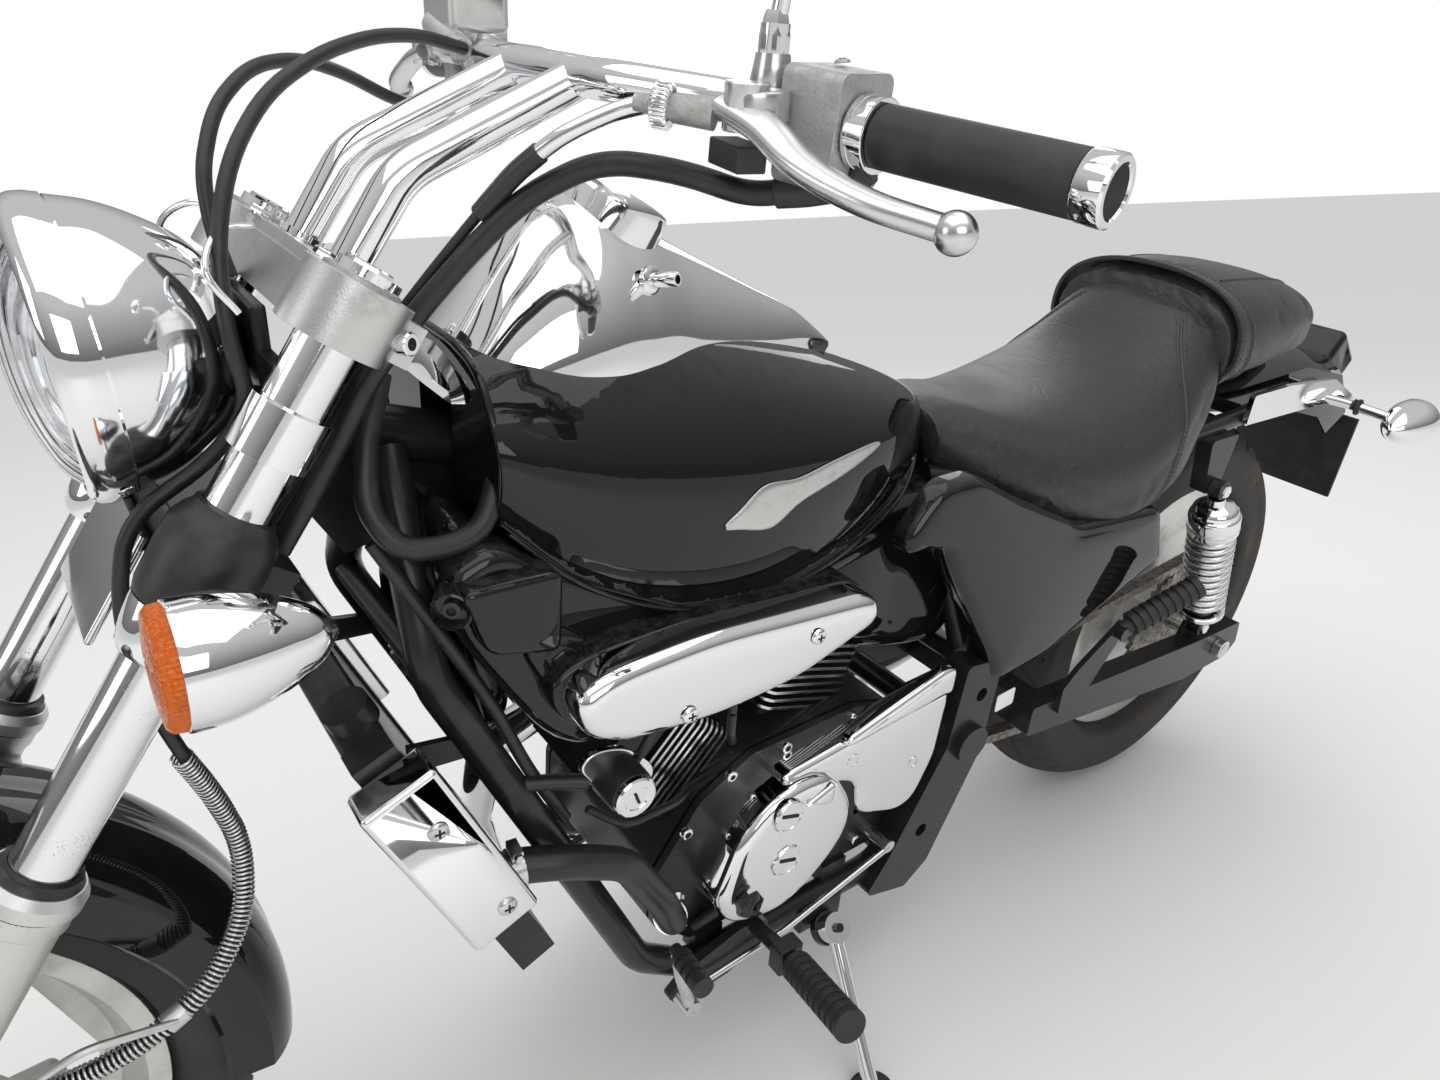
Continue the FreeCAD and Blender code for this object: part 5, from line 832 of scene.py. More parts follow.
def fluted(grid, count, depth):
    """Rings of a turned grid pushed in by depth (1 + cos(count a)) / 2 about their middles."""
    angle = angles(grid.shape[1])
    middle = grid.mean(1, keepdims=True)
    radius = np.maximum(np.linalg.norm(grid - middle, axis=2, keepdims=True), 1e-6)
    return grid - (grid - middle) / radius * (depth * (1 + np.cos(count * angle)) / 2)[None, :, None]


def hexagon(skin, at, way, radius, height, kind=0, washer=True):
    """Hexagon head with chamfered corners on its washer."""
    if washer:
        skin.turn([(0, radius * 1.35), (1.3, radius * 1.35), (1.6, radius * 1.2)], at, way, 32, kind=kind)
    skin.turn([(0, radius), (height * 0.82, radius), (height, radius * 0.88)], at, way, 6, kind=kind)


def screw(skin, at, way, radius, kind=0, dark=1):
    """Domed head with a cross recess drawn as two dark bars, painted shade in place of a cut recess."""
    at, way = np.asarray(at, float), unit(way)
    profile = [(0, 1.02), (0.2, 1.0), (0.38, 0.86), (0.5, 0.55), (0.55, 0.02)]
    skin.turn([(a * radius, r * radius) for a, r in profile], at, way, 32, kind=kind)
    for bar in basis(way):
        start = at + way * radius * 0.53 - bar * radius * 0.5
        skin.add(slab(start, bar, (radius, radius * 0.2, radius * 0.08), up=way), kind=dark)


def socket_screw(skin, at, way, radius, height, kind=0, dark=1):
    """Round head with a hexagon socket whose floor is a dark disc, painted shade."""
    skin.add(fluted(turned([(0, radius), (height * 0.85, radius), (height, radius * 0.86),
                            (height, radius * 0.55), (height * 0.5, radius * 0.52)], at, way, 72), 24, 0.25),
             kind=kind, caps=False)
    skin.turn([(height * 0.5, radius * 0.56), (height * 0.5, 0.02)], at, way, 6, kind=dark, caps=False)


POINTS_A_STITCH = 6


def stitched(path, radius, pitch):
    """Thread along a path that dips under the cover between stitches."""
    length = np.linalg.norm(np.diff(path, axis=0), axis=1).sum()
    count = int(length / pitch) * POINTS_A_STITCH
    curve = smooth(path, count)
    phase = np.linspace(0, 2 * np.pi * length / pitch, count)
    swell = np.clip(0.25 + np.cos(phase), 0.05, 1.0)[:, None, None]
    return swept(curve, circle(radius, 8)[None] * swell)


# Seat

# Ovals of the pads: (x, half width, low, high)
RIDER = [(149, 132, 646, 823), (178, 141, 624, 800), (240, 161, 596, 746), (330, 165, 578, 717),
         (430, 146, 596, 712), (520, 112, 640, 730), (584, 70, 676, 746)]
PILLION = [(-186, 74, 728, 776), (-110, 108, 722, 806), (20, 130, 716, 834), (120, 132, 708, 838),
           (150, 131, 700, 832)]
# Side seams: (x, angle above level in degrees about the pad's middle line)
RIDER_SEAM = [(172, 56), (190, 44), (206, 30), (222, 14), (240, -4), (262, -20), (296, -33), (352, -40)]
PILLION_SEAM = [(104, 44), (40, 42), (-60, 40), (-140, 42), (-178, 50)]
# Node, ovals, height of the well over the pan, seam, height of the middle line, height below which the cover is held
PADS = (("rider_seat", RIDER, 676, RIDER_SEAM, 690, 596), ("pillion_seat", PILLION, 730, PILLION_SEAM, 765, 720))
# The seam's cord and its two rows of thread: push out of the cover, radius, stitch, shift along x
SEAM_LINES = ((-0.5, 2.1, 0, 0), (0.2, 0.75, 5.5, 6), (0.2, 0.75, 5.5, -6))
PAD_WALL, PAD_RINGS, PAD_POINTS = 13.0, 60, 84
VOXEL, SHRUNK, PRESSURE, FRAMES = 0.005, 0.0035, 4.0, 20
HELD_BELOW, HOLD_FADE = 0.02, 24
SEAM_POINTS, RAY_FROM = 60, 320
STRAP_AT, STRAP_SLANT = 129, 0.12


def pad_rings(table, base):
    """Closed rings of a pad: its outer oval down to 58 degrees under level, back along an inner
    wall, and a flat well at height base over the pan."""
    over = np.radians(np.linspace(-58, 238, PAD_POINTS))
    c, n = np.cos(over), np.sin(over)
    bend = np.where(n > 0, 0.8, 0.42)
    rings = []
    for x, half, low, high in smooth(table, PAD_RINGS):
        level = low + (high - low) * 0.4
        rise = np.where(n > 0, high - level, level - low)
        out = np.stack([np.full(PAD_POINTS, x), half * np.sign(c) * np.abs(c)**bend,
                        level + rise * np.sign(n) * np.abs(n)**bend], -1)
        back = out[::-1].copy()
        back[:, 1] *= (half - PAD_WALL) / half
        back[:, 2] = np.minimum(back[:, 2], max(base, low + 6))
        rings.append(np.vstack([out, back]))
    return np.array(rings)


def swollen(pad, start, free, cap):
    """The points of a pad under cloth pressure, each move capped and scaled by how free it is."""
    scene = bpy.context.scene
    held = pad.vertex_groups.new(name="held")
    for index in np.flatnonzero(free[:, 0] <= HELD_BELOW).tolist():
        held.add([index], 1.0, "REPLACE")
    cloth = pad.modifiers.new("pressure", "CLOTH")
    cloth.settings.use_pressure = True
    cloth.settings.uniform_pressure_force = PRESSURE
    cloth.settings.vertex_group_mass = "held"
    cloth.settings.effector_weights.gravity = 0.0
    for step in range(1, FRAMES + 1):
        scene.frame_set(step)
    moved = np.zeros(start.size)
    shown = pad.evaluated_get(bpy.context.evaluated_depsgraph_get())
    shown.data.vertices.foreach_get("co", moved)
    pad.modifiers.remove(cloth)
    scene.frame_set(1)
    move = moved.reshape(-1, 3) - start
    reach = np.linalg.norm(move, axis=1)[:, None]
    return start + move * (np.minimum(1.0, cap / np.maximum(reach, 1e-9)) * free)


def foam(node, rings, cap, hold_below):
    """A pad under a tight cover: remeshed, then swollen by cloth pressure.

    The cover is held below the given height, and freed over the next HOLD_FADE millimetres."""
    skin = Skin().add(rings)
    drawn = bpy.data.meshes.new(node + "_foam")
    drawn.from_pydata(machine(np.vstack(skin.points)).tolist(), [], skin.faces)
    base = placed(node + "_foam", drawn)
    grain = base.modifiers.new("even", "REMESH")
    grain.mode, grain.voxel_size = "VOXEL", VOXEL
    mesh = bpy.data.meshes.new_from_object(base.evaluated_get(bpy.context.evaluated_depsgraph_get()))
    bpy.data.objects.remove(base)
    start, normal = np.zeros(len(mesh.vertices) * 3), np.zeros(len(mesh.vertices) * 3)
    mesh.vertices.foreach_get("co", start)
    mesh.vertices.foreach_get("normal", normal)
    start = start.reshape(-1, 3) - normal.reshape(-1, 3) * SHRUNK
    mesh.vertices.foreach_set("co", start.ravel())
    mesh.update()
    free = np.clip((upright(start)[:, 2] - hold_below) / HOLD_FADE, 0, 1)[:, None]
    pad = placed(node + "_cover", mesh)
    mesh.vertices.foreach_set("co", swollen(pad, start, free, cap).ravel())
    mesh.update()
    mesh.materials.clear()
    mesh.materials.append(FINISHES["leather"])
    mesh.shade_smooth()
    finer = pad.modifiers.new("smooth", "SUBSURF")
    finer.levels = finer.render_levels = 1
    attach(pad, CHASSIS)
    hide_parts(node)
    return pad


def on_cover(pad, rows, centre_z, lift):
    """Points where rays from a pad's middle line, at angles about it, leave its cover."""
    points = []
    for x, angle in smooth(rows, SEAM_POINTS):
        turn = math.radians(angle)
        way = np.array([0, math.cos(turn), math.sin(turn)])
        far = machine(np.array([x, 0, centre_z]) + way * RAY_FROM)
        hit, where = pad.ray_cast(Vector(far), Vector(-(TURN @ way)))[:2]
        if hit:
            points.append(upright(where) + way * lift)
    return np.array(points)


class CRUISER_OT_seats(bpy.types.Operator):
    """Two leather pads with piped seams, and the strap between them"""
    bl_idname = "cruiser.seats"
    bl_label = "Seats"

    def execute(self, context):
        cap = context.scene.cruiser_finish.seat_swell
        trim = Skin()
        for node, table, well, seam, middle, hold in PADS:
            pad = foam(node, pad_rings(table, well), cap, hold)
            context.view_layer.update()
            for side in SIDES:
                for push, radius, stitch, apart in SEAM_LINES:
                    rows = [(x + apart, angle if side > 0 else 180 - angle) for x, angle in seam]
                    line = on_cover(pad, rows, middle, push)
                    trim.add(stitched(line, radius, stitch) if stitch else tube(line, radius, 140, 12))
        trim.made("seat_piping", "piping", CHASSIS, slot="seat_leather")
        self.strap()
        return {"FINISHED"}

    def strap(self):
        """A flat strap with rolled edges over the front of the pillion pad, and its two rows of thread."""
        strap = Skin()
        ribbon = loop([(-17, 0), (-17, 6.2), (-13, 7.2), (-10.5, 5.4),
                       (10.5, 5.4), (13, 7.2), (17, 6.2), (17, 0)], 1.8, 4)
        table = np.array(PILLION, float)
        half, low, high = (np.interp(STRAP_AT, table[:, 0], table[:, k]) for k in (1, 2, 3))
        arc = oval(STRAP_AT, half + 0.2, low, high + 0.2, power=2.5, waist=0.4, steps=240)
        arc = arc[arc[:, 2] > low + 8]
        arc = arc[np.argsort(np.arctan2(arc[:, 2] - low - 40, arc[:, 1]))]
        away = units(arc - [STRAP_AT, 0, (low + high) / 2])
        strap.add(arc[:, None] + ribbon[:, :1] * [1.0, 0, STRAP_SLANT] + ribbon[:, 1:] * away[:, None])
        for shift in (-8, 8):
            strap.add(stitched(arc + [shift, 0, shift * STRAP_SLANT] + away * 5.6, 0.8, 5.5), kind=1)
        strap.made("grab_strap", "leather piping", CHASSIS, "seat_strap")


# Bodywork

# Outlines in side view: (x, z)
SIDE_COVER = [(668, 706), (708, 656), (698, 636), (654, 642), (630, 600), (580, 530), (534, 464), (516, 424),
              (430, 430), (216, 510), (250, 590), (420, 606), (548, 668), (616, 706)]
TRIM = [(761, 606), (768, 636), (950, 652), (1046, 648), (1076, 630), (1066, 594), (1030, 576),
        (940, 568), (856, 574)]
COVER = [(1000, 560), (1026, 528), (1064, 552), (1098, 606), (1132, 664), (1144, 700), (1142, 728),
         (1104, 746), (1066, 716), (1010, 684), (950, 664)]
POD_BOX = [(1142, 724), (1124, 666), (1064, 650), (1062, 722)]
POD_LOBE = [(1096, 656), (1074, 610), (1038, 594), (1030, 622), (1032, 648), (1062, 672)]
PLATE_LABEL = [(497, 398), (496, 374), (464, 376), (465, 400)]
BADGE = [(922, 724), (900, 727), (860, 733), (800, 739), (740, 742), (716, 743)]
# Ovals: (x, half width, low, high)
AIRBOX = [(640, 84, 600, 640), (716, 96, 600, 630), (840, 112, 580, 630), (950, 114, 566, 634),
          (1030, 104, 566, 656), (1092, 88, 600, 700)]
CONSOLE = [(694, 2, 803, 808), (712, 10, 790, 822), (742, 21, 784, 843), (800, 38, 790, 872), (890, 64, 806, 916),
           (950, 84, 822, 948), (980, 90, 824, 957), (1010, 90, 824, 948), (1050, 80, 824, 914),
           (1084, 66, 824, 872), (1104, 52, 824, 846)]
BATTERY_BOX = [(520, 70, 470, 640), (530, 84, 462, 650), (640, 88, 470, 656), (700, 84, 500, 640), (712, 70, 520, 620)]
RELAY_BOX = [(1076, 52, 560, 690), (1082, 80, 548, 720), (1120, 84, 540, 750), (1130, 70, 548, 740)]
# The tank's lower seam, (x, half width, low), and the bead round its front, (y, z) in the plane BEAD_X
TANK_SEAM = [(578, 30, 706), (640, 84, 672), (740, 124, 648), (850, 145, 637), (950, 147, 650), (1040, 134, 696),
             (1089, 117, 743)]
TANK_BEAD = [(100, 748), (109, 774), (111, 799), (96, 831), (76, 854), (42, 864), (0, 866)]
BEAD_X = 1094
DIAL_AT, DIAL_FACE = np.array([943, 0, 941.0]), np.array([-0.5, 0, 0.866])
SPIGOT_AT, SPIGOT_WAY = (945, 60, 902), (-0.35, 0.92, 0.2)


class CRUISER_OT_bodywork(bpy.types.Operator):
    """Side panels, air box covers with their bright trims, and the console with its dial"""
    bl_idname = "cruiser.bodywork"
    bl_label = "Bodywork"

    def execute(self, context):
        panels = Skin()
        for side in SIDES:
            panels.add(across(pillow(loop(SIDE_COVER, 18), dome(132.3, 157, 14, 5)), side))
        panels.made("side_panels", "panel", CHASSIS, "side_covers", crease=60)
        self.air_box()
        self.tank_edges()
        self.badge()
        boxes = Skin()
        boxes.add(lofted(BATTERY_BOX, 40, power=7, waist=0.5))
        boxes.add(lofted(RELAY_BOX, 20, power=7, waist=0.5))
        boxes.made("battery_and_relay_boxes", "panel", CHASSIS, slot="black_rubber", crease=50)
        marks = Skin()
        label = [(150.2, 0, 1.0), (151.0, 0, 1.0), (151.1, 0.4, 1.0), (151.1, 0, 0.02)]
        marks.add(pillow(loop(PLATE_LABEL, 3), label, 60))
        marks.turn([(0, 14), (3, 14), (4, 12.6), (4.2, 0.1)], (538, 150.4, 353), LEFT, 48, kind=1)
        marks.made("plate_label_and_cap", "label alloy", CHASSIS, slot="chrome")
        self.console()
        return {"FINISHED"}

    def air_box(self):
        """The air box with its pods and bosses, their screws, and the bright trims."""
        box, screws, trims = Skin(), Skin(), Skin()
        box.add(lofted(AIRBOX, 40, power=3.2, waist=0.5))
        seat = [(x + (7 if x > 900 else -5), z) for x, z in TRIM]
        for side in SIDES:
            for outline, reach, levels in ((seat, 34, dome(84, 156, 5, 0)), (COVER, 30, dome(70, 128, 14, 3)),
                                           (POD_BOX, 13, dome(100, 145, 7, 1.5)),
                                           (POD_LOBE, 20, dome(100, 139, 13, 3))):
                box.add(across(pillow(loop(outline, reach), levels), side))
            boss, away = np.array([1141, 126 * side, 706]), np.array([0.55, 0.83 * side, 0])
            box.turn([(-14, 15.5), (9, 15), (10, 13.6), (3, 12.5), (3, 0.02)], boss, away, 40, caps=False)
            socket_screw(screws, boss + away * 3, away, 7, 5)
            for x, z in ((976, 588), (844, 619)):
                screw(screws, (x, side * 190.4, z), (0, side, 0), 7.5, kind=2)
            trims.add(across(pillow(loop(TRIM, 30), dome(156.3, 188.5, 13, 1.8), 200), side))
        box.made("air_box_cover", "panel", CHASSIS, "airbox", crease=50)
        screws.made("cover_screws", "hardware void chrome", CHASSIS, slot="chrome")
        trims.made("air_box_trims", "chrome", CHASSIS, "airbox_trims", crease=70)

    def console(self):
        """The bright shell over the tank, its dial with a needle and a boss, and the breather spigot."""
        console = Skin()
        console.add(lofted(CONSOLE, 90, power=1.75, waist=0.05, steps=120))
        rim = [(-22, 43), (4, 44), (12, 43.4), (15, 41), (14.4, 38), (8, 37), (6, 36)]
        for profile, steps, kind in ((rim, 96, 0), ([(6, 36.6), (6, 0.02)], 96, 1),
                                     ([(11, 37), (12.4, 28), (13, 0.02)], 64, 2)):
            console.turn(profile, DIAL_AT, DIAL_FACE, steps, caps=False, kind=kind)
        needle = DIAL_AT + DIAL_FACE * 8 - np.array([0, 24, 0])
        console.add(slab(needle, (0, 1, 0.15), (30, 1.2, 1.2), up=DIAL_FACE), kind=3)
        console.turn([(6, 4.5), (9.5, 4.5), (9.5, 0.02)], DIAL_AT, DIAL_FACE, 24, caps=False, kind=3)
        pipe = [(0, 11), (4, 11), (6, 8.5), (6, 5.6), (27, 5.6), (28, 4.9), (28, 3.4), (20, 3.2)]
        console.turn(pipe, SPIGOT_AT, SPIGOT_WAY, 36, caps=False)
        # A dark disc inside the spigot's bore: painted shade.
        console.turn([(20, 3.3), (20, 0.02)], SPIGOT_AT, SPIGOT_WAY, 24, caps=False, kind=1)
        console.made("tank_console_shell", "chrome void glass hardware", CHASSIS, "tank_console", crease=50)

    def tank_edges(self):
        """The flat lip along the tank's lower seam, and the bead round its front end."""
        lip = Skin()
        edge = loop([(-6, -2.2), (6, -2.2), (6, 2.2), (-6, 2.2)], 2, 4)
        seam = smooth([(x, half * 0.9 + 2.6, low + 0.6) for x, half, low in TANK_SEAM], 160)
        for side in SIDES:
            lip.add(across(swept(seam, edge), side))
            lip.add(across(tube([(BEAD_X, y, z) for y, z in TANK_BEAD], 3.2, 80, 16, up=(1, 0, 0)), side))
        lip.made("tank_seam", "tank", CHASSIS, slot="tank_paint", crease=60)

    def badge(self):
        """A blank bar on each side of the tank: a spearhead whose width swells and tapers along it."""
        badge = Skin()
        mesh = NODES["fuel_tank"].data
        tank = BVHTree.FromPolygons([v.co for v in mesh.vertices], [f.vertices for f in mesh.polygons])
        bar = loop([(-1, 0), (-1, 1.2), (-0.8, 2.6), (0.8, 2.6), (1, 1.2), (1, 0)], 0.4, 3)
        for side in SIDES:
            path = np.array([self.on_tank(tank, x, z, side) for x, z in smooth(BADGE, 48)])
            out = np.array([0, 0.985 * side, 0.17])
            t = np.linspace(0, 1, len(path))[:, None, None]
            height = 1.5 + 11 * np.exp(-((t - 0.22) / 0.13) ** 2) + 8.5 * np.sin(np.pi * t) ** 0.6
            section = bar * np.concatenate([height, np.ones_like(height)], -1)
            along = units(np.gradient(path, axis=0))
            upward = np.cross(out, along) * -side
            badge.add(path[:, None] + section[..., :1] * upward[:, None] + section[..., 1:] * out)
        badge.made("tank_badge", "alloy", CHASSIS, slot="chrome", crease=50)

    def on_tank(self, tank, x, z, side):
        """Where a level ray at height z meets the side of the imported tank."""
        where = tank.ray_cast(Vector(machine([x, 300 * side, z])), Vector(TURN @ np.array([0, -side, 0.0])))[0]
        return upright(where)


# Front end

LAMP_AT = np.array([1314.0, 0, 877.0])
LAMP_WAY = np.array([0.99756, 0, -0.06976])
# Where the two screws sit on the lamp's rim, as a direction left and up
RIM_RADIUS, RIM_SCREW = 92.6, (0.66, -0.751)
SIGNAL_AT = np.array([1322.0, 197.0, 762.0])
FORK_HALF = 106.0
LEVER_BALL = np.array([967.0, 370.0, 998.0])
GUARDED_HOSE = [(1319, 63, 605), (1304, 58, 560), (1292, 60, 508), (1302, 80, 458), (1338, 104, 424),
                (1386, 112, 406), (1426, 108, 397), (1454, 98, 388)]
GUARD_TURNS, GUARD_POINTS, GUARD_RADIUS, GUARD_WIRE = 92, 1300, 6.9, 1.15


class CRUISER_OT_lamps(bpy.types.Operator):
    """Headlamp with its rim, reflector and dome, and the bullet indicators front and back"""
    bl_idname = "cruiser.lamps"
    bl_label = "Lamps"

    def execute(self, context):
        shell = Skin()
        back = smooth([(-85, 1), (-85, 18), (-81, 36), (-68, 57), (-46, 74), (-22, 86), (-1.2, 91.5)], 48)
        rim = [(-1.2, 91.5), (-1.2, 89.6), (0.2, 89.6), (0.4, 92.6), (8, 94.4), (15, 94.6), (21, 92.8),
               (25, 89.4), (26, 86.2), (24.6, 84.4), (15, 84.2)]
        for profile in (back, rim):
            shell.turn(profile, LAMP_AT, LAMP_WAY, 128, caps=False)
        bowl = smooth([(20, 84), (4, 79), (-16, 66), (-34, 44), (-44, 18), (-45, 0.5)], 30)
        shell.turn(bowl, LAMP_AT, LAMP_WAY, 96, caps=False, flip=True, kind=1)
        bulb = [(-45, 15), (-28, 15), (-26, 12), (-14, 12), (-10, 8), (-8, 0.5)]
        shell.turn(bulb, LAMP_AT, LAMP_WAY, 40, kind=2)
        for side in SIDES:
            at = LAMP_AT + np.array([2.0, RIM_RADIUS * RIM_SCREW[0] * side, RIM_RADIUS * RIM_SCREW[1]])
            screw(shell, at, (0.1, RIM_SCREW[0] * side, RIM_SCREW[1]), 6.5, dark=3)
        shell.made("headlamp", "chrome reflector steel void", STEERING, "headlamp_shell", crease=38)
        dome_glass = Skin()
        outer = smooth([(15, 83.4), (22, 82), (31, 74), (39, 56), (45, 30), (47, 0.4)], 36)
        inner = outer[::-1] - [2.6, 0] - np.outer(np.linspace(0, 1, 36), [0, 2.2])
        inner[:, 1] = np.maximum(inner[:, 1], 0.4)
        dome_glass.turn(np.vstack([outer, inner]), LAMP_AT, LAMP_WAY, 128, caps=False)
        dome_glass.made("headlamp_glass", "glass", STEERING, "headlamp_lens", crease=70)
        for name, body, node, drawn in (("front_signals", STEERING, "front_indicators", self.front),
                                        ("rear_signals", CHASSIS, "rear_indicators", self.rear)):
            pair = Skin()
            for side in SIDES:
                drawn(pair, side)
            pair.made(name, "chrome amber reflector rubber", body, node, crease=42)
        return {"FINISHED"}

    def bullet(self, pair, at, way, r, long):
        """Housing behind the seam at `at`, lens with cast ribs ahead of it."""
        rows = smooth([(0, r), (long * 0.2, r * 0.995), (long * 0.42, r * 0.9), (long * 0.66, r * 0.7),
                       (long * 0.88, r * 0.4), (long, r * 0.07)], 40)
        pair.turn(np.vstack([[(-2.5, r - 2.6)], [(-1.5, r - 0.4)], rows]), at, -way, 96)
        pair.turn([(0.5, r - 3), (0.6, 0.1)], at, way, 64, caps=False, kind=2)
        ribbed = [(0.6, r - 2.2), (1.2, r - 1.6), (8.6, r - 2.2), (11.2, r - 5), (12.6, r * 0.6), (13.2, r * 0.3),
                  (13.4, 0.2)]
        pair.add(fluted(turned(ribbed, at, way, 288), 72, 0.7), kind=1)

    def front(self, pair, side):
        """Clamp ring round the fork tube, arm and bullet."""
        foot = on_fork([0, FORK_HALF * side, 0])
        ring = [(497, 21.2), (497, 24.5), (501, 27.5), (514, 30), (528, 31.4), (532.5, 31.4), (532.5, 21.2)]
        pair.turn(ring, foot, UP, 72, caps=False)
        root = on_fork([0, 0, 518]) + [0, (FORK_HALF + 26) * side, 0]
        nose = SIGNAL_AT * [1, side, 1]
        arm_to = np.array([root[0] + 3, nose[1] - 24 * side, nose[2] - 3])
        pair.add(tube([root, (root + arm_to) / 2 + [0, 0, -1.5], arm_to], 10.5, 20, 24))
        pair.turn([(-4, 17), (4, 15.5), (9, 12)], root, (0, side, 0), 40)
        self.bullet(pair, nose, np.array([0.9994, 0, 0.0349]), 37.0, 84)

    def rear(self, pair, side):
        """Stalk with its rubber foot, and bullet."""
        pair.add(tube([(-256, 142 * side, 632), (-257, 160 * side, 631.4), (-258, 184 * side, 630)], 7.5, 20, 20))
        pair.turn([(0, 12), (3, 12), (6, 8)], (-256, 141.6 * side, 632), (0, side, 0), 32, kind=3)
        self.bullet(pair, np.array([-306, 204 * side, 622.0]), np.array([-0.9994, 0, 0.0349]), 34.0, 78)


class CRUISER_OT_controls(bpy.types.Operator):
    """Clutch and brake levers, their perches and cable fittings, switch screws, caps and clamp bolts"""
    bl_idname = "cruiser.controls"
    bl_label = "Controls"

    def execute(self, context):
        metal, switch = Skin(), Skin()
        for side in SIDES:
            self.lever(metal, side)
            self.perch(metal, side)
            self.bar_end(metal, side)
            self.clamp_bolts(metal, side)
        self.clutch_fittings(metal, switch)
        metal.made("lever_and_clamp_metal", "steel corroded chrome void", STEERING, "levers", crease=36)
        soften(switch.made("clutch_switch", "plastic", STEERING, slot="black_rubber"), 1.2, 35)
        boots, guides = Skin(), Skin()
        high = [(534, 31.9), (540, 33.4), (566, 34), (584, 33), (592, 29), (596, 25.4), (600, 24.4), (601, 21),
                (598, 20.8)]
        low = [(318, 29.6), (322, 30.4), (332, 30.2), (336, 27.6), (340, 24.6), (343, 24), (344, 20.8)]
        for side in SIDES:
            foot = on_fork([0, FORK_HALF * side, 0])
            boots.turn(high, foot, UP, 80, caps=False)
            boots.turn(low, foot, UP, 64, caps=False)
            hoop = [on_fork([ahead, y * side, up]) for ahead, y, up in
                    ((44, 30, 752), (62, 44, 742), (64, 66, 716), (40, 70, 704))]
            guides.add(tube(hoop, 2.2, 40, 12))
        boots.made("fork_boots", "hose", STEERING, slot="black_rubber", crease=45)
        guides.made("cable_guides", "chrome", STEERING, slot="chrome")
        self.hose_guard()
        return {"FINISHED"}

    def lever(self, metal, side):
        """Blade whose squarish section narrows towards its ball, and the pivot's cap."""
        knuckle = np.array([993.7, 230.7, 1040.2]) * [1, side, 1]
        ball = LEVER_BALL * [1, side, 1]
        route = np.array([knuckle + [3, -14 * side, 1], knuckle + [3, 20 * side, -8], ball + [30, -92 * side, 22],
                          ball + [20, -46 * side, 8], ball + [2, -6 * side, 1]])
        t = np.linspace(0, 1, 60)[:, None, None]
        width = 12.5 * (1 - t) ** 1.5 + 8.2 * (1 - (1 - t) ** 1.5)
        section = squared(28, 0.8)[None] * np.concatenate([width, 7.0 - 0.4 * t], -1)
        metal.add(swept(smooth(route, 60), section, up=(0.25, 0, 1)))
        bead = smooth([(-11.2, 0.3), (-9.5, 6), (-4, 10.6), (2, 11.1), (7, 8.8), (10.6, 4), (11.2, 0.3)], 28)
        metal.turn(bead, ball, (0.05, side, -0.1), 48)
        cap = [(-16, 13), (-3, 13), (-1, 12.4), (0, 11), (0, 9), (-0.8, 8.6), (-0.8, 0.1)]
        metal.turn(cap, (987, 233 * side, 1050.5), (0.06, 0, 1), 48, squash=1.35)

    def perch(self, metal, side):
        """Mirror socket, clamp round the bar, the perch's arm with its pivot and bolts, and a switch screw."""
        inner, outer = on_bar(181, side), on_bar(137, side)
        foot = inner + np.array([16, -11 * side, 18.0])
        metal.turn([(-19, 8.4), (0, 12.5), (8, 11), (15, 10)], foot, STRAIGHT_UP, 48)
        metal.turn([(-13, 19), (-12, 20.6), (12, 20.6), (13, 19)], on_bar(194, side), BAR_WAY * [1, side, 1], 72)
        arm = [inner + step for step in ([4, -9 * side, 3], [20, -11 * side, 5], [36, -6 * side, 5], [47, 4 * side, 4])]
        metal.add(swept(smooth(arm, 30), squared(36, 0.55) * [10.5, 9.0]))
        metal.turn([(-7, 12.4), (-6, 13), (18, 13), (19, 12)], inner + [46, 6 * side, 0], STRAIGHT_UP, 48)
        metal.add(tube([inner + [38, -40 * side, 4], inner + [42, -6 * side, 5]], 7.4, 12, 24))
        hexagon(metal, inner + [26, -11 * side, 14.2], STRAIGHT_UP, 5.2, 4, kind=2)
        metal.turn([(15, 9.6), (24, 9.6), (34, 7.4), (37, 6)], foot, STRAIGHT_UP, 6, kind=2)
        screw(metal, outer + np.array([-2, -24 * side, 33.5]), (0.1, -0.1 * side, 1), 4.6, kind=1, dark=3)

    def bar_end(self, metal, side):
        """Cap at the grip's end, and the grip's collars."""
        end, way = BAR_END * [1, side, 1], BAR_WAY * [1, side, 1]
        rim = [(0.4, 17.6), (1.5, 18.4), (15.5, 18.4), (17, 17.2), (17, 14.2), (15.6, 13.6)]
        metal.turn(rim, end, way, 64, kind=2, caps=False)
        metal.turn([(15.6, 13.8), (15.6, 0.1)], end, way, 48, kind=3, caps=False)
        for back, r in ((124.5, 20.6), (130, 19.4), (134.5, 20.4)):
            metal.turn([(-2.2, r - 1), (-1.6, r), (1.6, r), (2.2, r - 1)], on_bar(back, side), way, 64, kind=2)

    def clamp_bolts(self, metal, side):
        """Fork caps with their hexagons, the pinch bolt and the riser bolts."""
        for up, r, h, corners, kind in ((757, 24.5, 3.0, 64, 1), (760, 15, 9, 6, 2)):
            cap_at = on_fork([0, FORK_HALF * side, up])
            metal.turn([(0, r), (h - 1, r), (h, r - 1.5)], cap_at, UP, corners, kind=kind)
        pinch = on_fork([-33, (FORK_HALF + 16) * side, 737])
        socket_screw(metal, pinch, (-0.5, 0.85 * side, 0.1), 7.5, 7, kind=2, dark=3)
        for ahead in (14, -22):
            hexagon(metal, on_fork([ahead, 74 * side, 756.5]), UP, 7.5, 6, kind=2)

